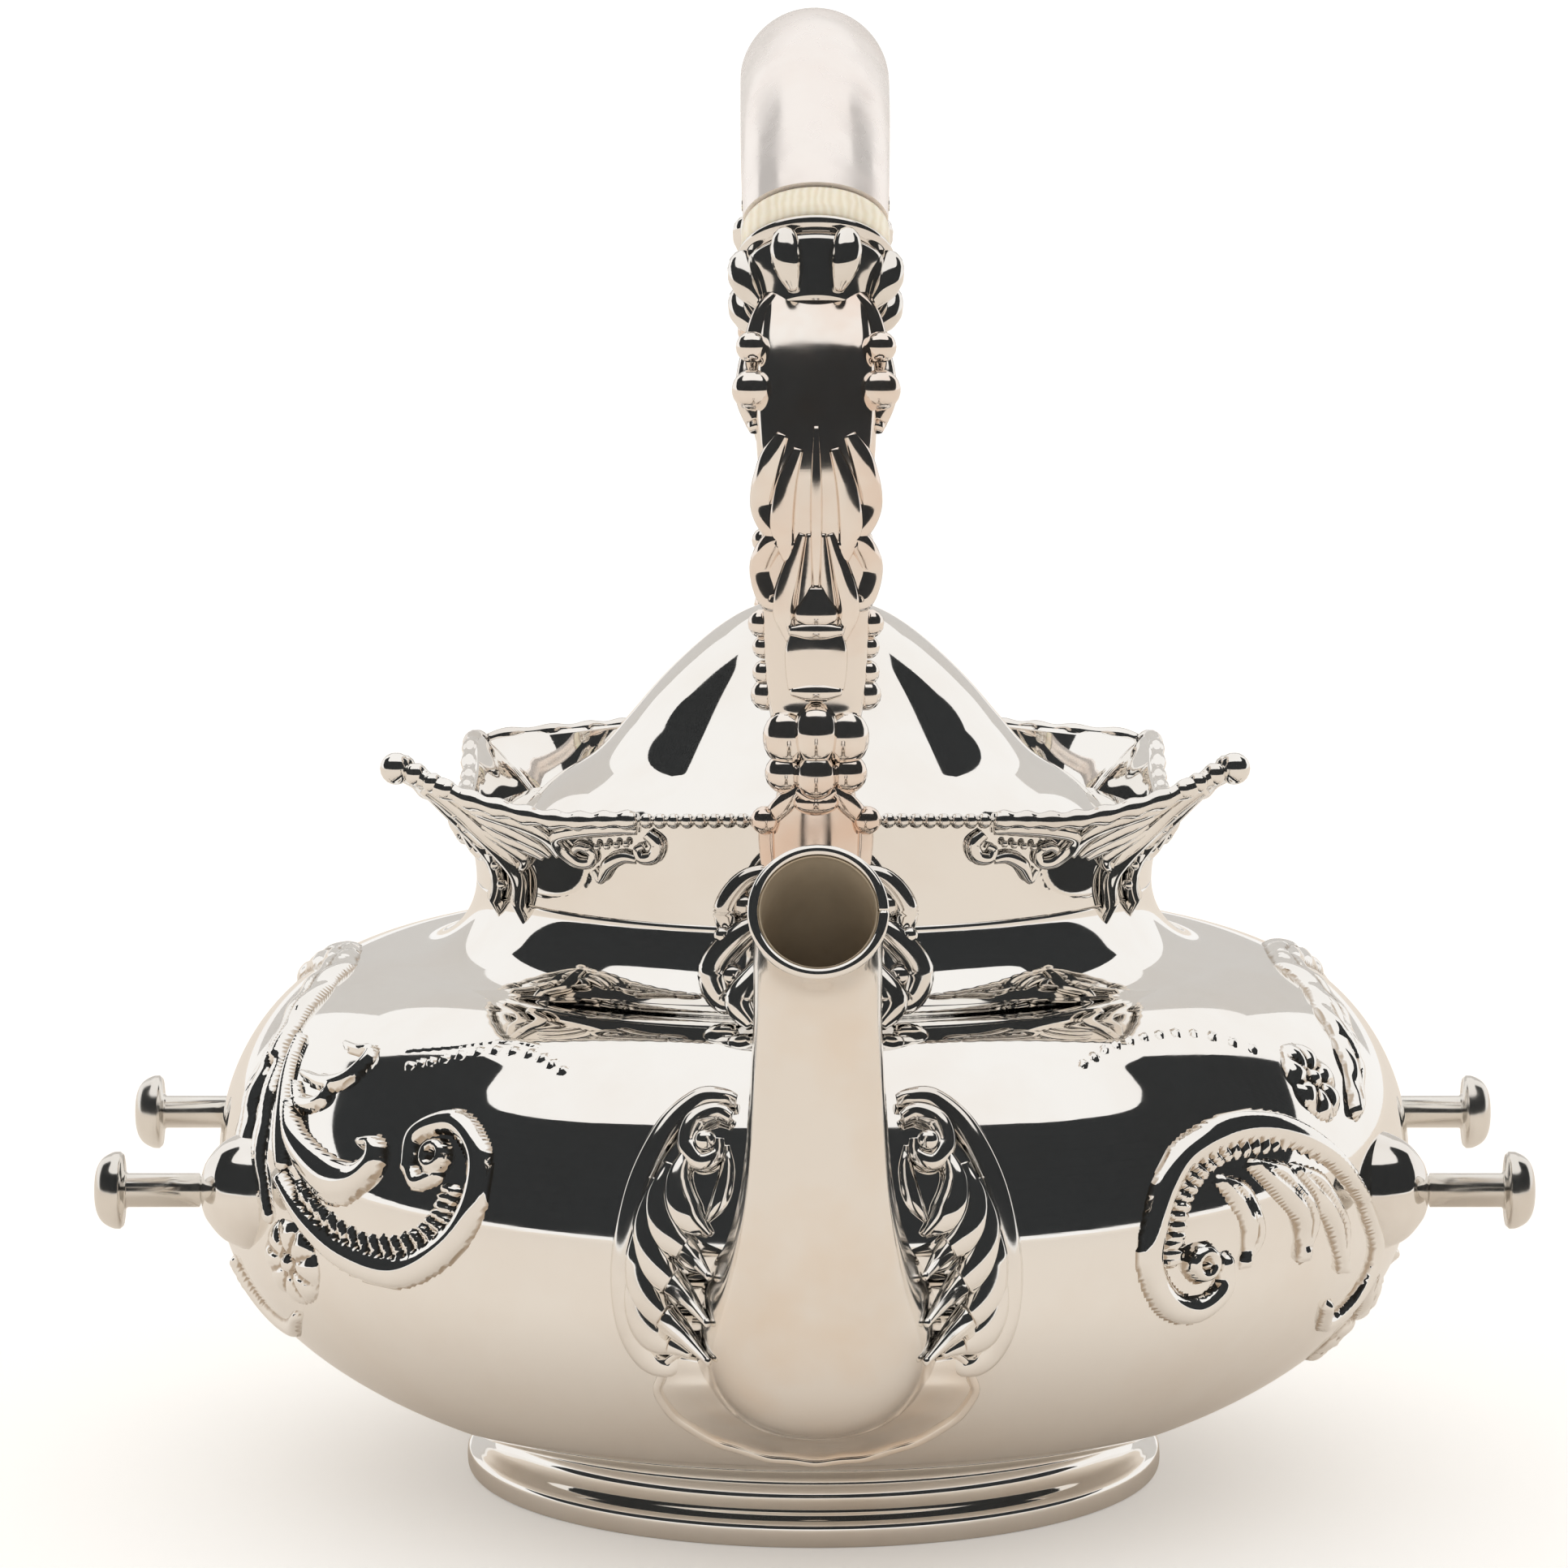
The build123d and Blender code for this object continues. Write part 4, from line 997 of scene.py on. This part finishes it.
def silver(name, clean, tarnish, amount, rough, ripple, scratch=1.0, metal=1.0, hollow=0.0):
    """Polished silver: tarnish lies in clouds and in the hollows, over ripples and scratches."""
    material, tree, shader, node = shader_nodes(name)
    where = node("ShaderNodeTexCoord").outputs["Object"]
    cloud = node("ShaderNodeTexNoise", {"Vector": where, "Scale": 38.0, "Detail": 4.0, "Roughness": 0.6})
    spread = node("ShaderNodeMapRange", {"Value": cloud.outputs["Fac"], "From Min": 0.42,
                                         "From Max": 0.74, "To Min": 0.0, "To Max": amount})
    factor = spread.outputs["Result"]
    if hollow:
        sharp = node("ShaderNodeNewGeometry").outputs["Pointiness"]
        deep = node("ShaderNodeMapRange", {"Value": sharp, "From Min": 0.497, "From Max": 0.472,
                                           "To Min": 0.0, "To Max": hollow})
        most = node("ShaderNodeMath", {0: factor, 1: deep.outputs["Result"]}, operation="MAXIMUM")
        factor = most.outputs["Value"]
    mixed = node("ShaderNodeMix", {"Factor": factor}, data_type="RGBA")
    mixed.inputs["A"].default_value = (*clean, 1)
    mixed.inputs["B"].default_value = (*tarnish, 1)
    tree.links.new(mixed.outputs["Result"], shader.inputs["Base Color"])
    shader.inputs["Metallic"].default_value = metal
    rub = node("ShaderNodeTexNoise", {"Vector": where, "Scale": 160.0, "Detail": 3.0})
    dull = node("ShaderNodeMapRange", {"Value": rub.outputs["Fac"], "From Min": 0.35, "From Max": 0.8,
                                       "To Min": rough * 0.7, "To Max": rough * 1.8})
    tree.links.new(dull.outputs["Result"], shader.inputs["Roughness"])
    broad = node("ShaderNodeTexNoise", {"Vector": where, "Scale": 16.0, "Detail": 1.0})
    bump = node("ShaderNodeBump", {"Height": broad.outputs["Fac"], "Strength": 1.0,
                                   "Distance": ripple * MM})
    stretched = node("ShaderNodeMapping", {"Vector": where, "Rotation": (0.5, 0.9, 0.3),
                                           "Scale": (40, 40, 900)})
    scratches = node("ShaderNodeTexNoise", {"Vector": stretched.outputs["Vector"], "Scale": 3.0,
                                            "Detail": 2.0})
    fine = node("ShaderNodeBump", {"Height": scratches.outputs["Fac"], "Normal": bump.outputs["Normal"],
                                   "Strength": 0.12 * scratch, "Distance": 0.01 * MM})
    tree.links.new(fine.outputs["Normal"], shader.inputs["Normal"])
    return material


bright = silver("bright_silver", (0.93, 0.915, 0.89), (0.84, 0.76, 0.68), 0.35, 0.035, 0.05)
chased = silver("chased_silver", (0.92, 0.90, 0.87), (0.50, 0.40, 0.31), 0.35, 0.07, 0.03,
                hollow=0.9)
raised_marks = silver("raised_marks", (0.93, 0.915, 0.89), (0.46, 0.37, 0.28), 0.12, 0.04, 0.03,
                      hollow=0.9)
spout_silver = silver("spout_silver", (0.90, 0.87, 0.83), (0.86, 0.74, 0.62), 0.85, 0.12, 0.05)
grip_finish = silver("grip_finish", (0.93, 0.88, 0.85), (0.88, 0.78, 0.73), 0.7, 0.24, 0.05,
                     scratch=2.0, metal=0.45)
arm_finish = silver("arm_finish", (0.92, 0.87, 0.82), (0.83, 0.61, 0.48), 0.8, 0.09, 0.03,
                    hollow=0.8)
lining_finish = silver("lining_finish", (0.52, 0.43, 0.31), (0.34, 0.26, 0.17), 0.9, 0.5, 0.05,
                       metal=0.25)
dull = silver("dull_silver", (0.62, 0.54, 0.44), (0.36, 0.28, 0.19), 0.9, 0.42, 0.05)
pin_finish = silver("pin_finish", (0.86, 0.84, 0.80), (0.66, 0.60, 0.54), 0.6, 0.16, 0.02)
brass = silver("plain_brass", (0.78, 0.60, 0.33), (0.52, 0.36, 0.18), 0.6, 0.25, 0.02)
print("silver finishes:", len(bpy.data.materials))

# %% [markdown]
# The heat breaks are cream discs with a faint wavy grain and a little light passing into them.

# %% Cream heat breaks
cream, tree, shader, node = shader_nodes("cream_heat_break")
where = node("ShaderNodeTexCoord").outputs["Object"]
grain = node("ShaderNodeTexWave", {"Vector": where, "Scale": 260.0, "Distortion": 5.0, "Detail": 2.0})
tint = node("ShaderNodeMix", {"Factor": grain.outputs["Fac"]}, data_type="RGBA")
tint.inputs["A"].default_value = (0.80, 0.72, 0.56, 1)
tint.inputs["B"].default_value = (0.88, 0.82, 0.69, 1)
tree.links.new(tint.outputs["Result"], shader.inputs["Base Color"])
shader.inputs["Roughness"].default_value = 0.28
shader.inputs["Subsurface Weight"].default_value = 0.15
shader.inputs["Subsurface Radius"].default_value = (0.004, 0.002, 0.001)
print("cream finish:", cream.name)

# %% [markdown]
# Now every piece gets its finish. A piece of the solid model that stays in view is looked up by
# its whole name; a worked piece by how its name begins, so a left and a right piece share a line.

# %% Who wears what
SOLID_FINISH = {"finial_insulator": cream, "finial_nut": brass, "finial_stud": brass, "strainer": dull,
                "seam_band": dull, "insulator_pins": pin_finish}
WORKED_FINISH = {"kettle_body": bright, "foot": bright, "collar_wall": bright, "lid_": bright,
                 "mouth_wire": bright, "gooseneck_lining": lining_finish, "gooseneck": spout_silver,
                 "spout_lip_on_bowl": spout_silver, "grip_": grip_finish, "arm_": arm_finish,
                 "heat_break": cream, "pin_": pin_finish, "chasing": raised_marks}
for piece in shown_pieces():
    if "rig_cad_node" in piece:
        finish = SOLID_FINISH.get(piece.name, bright)
    else:
        finish = next((f for start, f in WORKED_FINISH.items() if piece.name.startswith(start)), chased)
    piece.data.materials.clear()
    piece.data.materials.append(finish)

# %% [markdown]
# ## The studio
# Mirror-bright silver shows only what is round it, so the room matters more than the lamps: a
# pale floor and walls of light, with dark boards that draw the edges and bands in the metal.


# %% Studio surfaces
PALE = (0.96, 0.945, 0.92)
# painted shade: the floor's colour as the metal mirrors it, darker and warmer for the kettle's shadow
SHADED_FLOOR_TONE = (0.86, 0.785, 0.70)
FLOOR_GLOW = 0.22


def plain(name, colour, glow=0.0):
    """A flat studio surface, glowing or not."""
    material, tree, shader, node = shader_nodes(name)
    speck = node("ShaderNodeTexNoise", {"Scale": 4.0})
    shade = node("ShaderNodeMix", {"Factor": speck.outputs["Fac"]}, data_type="RGBA")
    shade.inputs["A"].default_value = (*[c * 0.98 for c in colour], 1)
    shade.inputs["B"].default_value = (*colour, 1)
    tree.links.new(shade.outputs["Result"], shader.inputs["Base Color"])
    shader.inputs["Roughness"].default_value = 0.9
    if glow:
        shader.inputs["Emission Color"].default_value = (*colour, 1)
        shader.inputs["Emission Strength"].default_value = glow
    return material


def staged(name, points, faces, material):
    """A piece of the studio, which isn't part of the kettle."""
    mesh = bpy.data.meshes.new(name)
    mesh.from_pydata(points, [], faces)
    mesh.materials.append(material)
    made = bpy.data.objects.new(name, mesh)
    bpy.context.scene.collection.objects.link(made)
    return made


white = plain("studio_white", PALE, FLOOR_GLOW)
black = plain("studio_black", (0.016, 0.019, 0.022))
grey = plain("studio_grey", (0.60, 0.59, 0.58))
print("studio surfaces:", white.name, black.name, grey.name)

# %% [markdown]
# The floor glows a little, so that it stays white right up to the kettle. Seen in the metal it is
# painted warmer and darker and without its glow, a painted shade for the kettle's shadow on the
# table; the light path says which ray is asking.

# %% Floor
HALF_FLOOR = 7.0
tree = white.node_tree
shader = tree.nodes["Principled BSDF"]
# painted shade: rays mirrored off the metal see the floor without its glow and in the darker, warmer colour
mirrored = tree.nodes.new("ShaderNodeLightPath").outputs["Is Glossy Ray"]
glow = tree.nodes.new("ShaderNodeMapRange")
glow.inputs["To Min"].default_value = FLOOR_GLOW
glow.inputs["To Max"].default_value = 0.0
tree.links.new(mirrored, glow.inputs["Value"])
tree.links.new(glow.outputs["Result"], shader.inputs["Emission Strength"])
painted_floor_shade = tree.nodes.new("ShaderNodeMix")
painted_floor_shade.data_type = "RGBA"
tree.links.new(mirrored, painted_floor_shade.inputs["Factor"])
painted_floor_shade.inputs["A"].default_value = (*PALE, 1)
painted_floor_shade.inputs["B"].default_value = (*SHADED_FLOOR_TONE, 1)
tree.links.new(painted_floor_shade.outputs["Result"], shader.inputs["Base Color"])
corners = [(x * HALF_FLOOR, y * HALF_FLOOR, 0) for x, y in ((-1, -1), (1, -1), (1, 1), (-1, 1))]
staged("studio_floor", corners, [(0, 1, 2, 3)], white)
print("floor", 2 * HALF_FLOOR, "m across")

# %% [markdown]
# The room's light comes evenly from all round: a pale world, a shade less bright in the metal
# than seen directly.

# %% Soft light all round
world = bpy.data.worlds.new("studio_world")
bpy.context.scene.world = world
world.use_nodes = True
tree = world.node_tree
sky = tree.nodes["Background"]
sky.inputs["Color"].default_value = (1.0, 0.985, 0.965, 1)
level = tree.nodes.new("ShaderNodeMapRange")
level.inputs["To Min"].default_value = 0.98
level.inputs["To Max"].default_value = 1.15
tree.links.new(tree.nodes.new("ShaderNodeLightPath").outputs["Is Camera Ray"], level.inputs["Value"])
tree.links.new(level.outputs["Result"], sky.inputs["Strength"])
print("world set:", world.name)

# %% [markdown]
# Dark bands come from a board bent round the kettle. Its edges are given by angles, because a
# mirror answers to directions: how far round, and how far up it begins and ends. The camera, the
# shadows and the soft light don't notice it.


# %% Boards that the silver mirrors
BOARD_RADIUS = 2.4                                       # metres
BOARD_CENTRE = 0.06


def curved_board(name, edge, material):
    """Part of a ball round the kettle; edge holds (angle round, lowest, highest) in degrees."""
    line = smooth_line(edge, 120)
    turn = np.radians(line[:, 0])
    rows = []
    for share in np.linspace(0, 1, 14):
        rise = np.radians(line[:, 1] + (line[:, 2] - line[:, 1]) * share)
        out = BOARD_RADIUS * np.cos(rise)
        rows.append(np.stack([out * np.sin(turn), -out * np.cos(turn),
                              BOARD_CENTRE + BOARD_RADIUS * np.sin(rise)], 1))
    n, m = len(rows), len(line)
    faces = [(i * m + j, i * m + j + 1, (i + 1) * m + j + 1, (i + 1) * m + j)
             for i in range(n - 1) for j in range(m - 1)]
    made = staged(name, np.vstack(rows).tolist(), faces, material)
    made.visible_camera = False
    made.visible_shadow = False
    made.visible_diffuse = False
    print(name, "spans", round(line[0, 0]), "to", round(line[-1, 0]), "degrees")


half = [(0, 1, 60), (40, 1, 56), (65, 1, 49), (83, 1, 45), (95, 3, 48), (106, 12, 52), (118, 24, 54),
        (128, 29, 51)]
curved_board("dark_front", [(-turn, low, high) for turn, low, high in half[:0:-1]] + half, black)
curved_board("grey_rear", [(turn, 3, 30) for turn in (152, 166, 180, 194, 208)], grey)

# %% [markdown]
# ## The camera
# A long lens from about a metre away, tipped down by eight degrees, sees the kettle from a little
# above the spout.

# %% Camera
LENS, SENSOR = 149.07, 36.0                              # millimetres
camera = bpy.data.objects.new("camera", bpy.data.cameras.new("camera"))
bpy.context.scene.collection.objects.link(camera)
camera.data.sensor_width = SENSOR
camera.data.lens = LENS
camera.location = (-0.0048, -1.029, 0.2557)
camera.rotation_euler = (math.radians(82.0), 0, 0)
camera.data.clip_start = 0.05
bpy.context.scene.camera = camera
bpy.context.scene.view_settings.view_transform = "Standard"
bpy.context.scene.view_settings.look = "None"
print("camera at", tuple(camera.location))
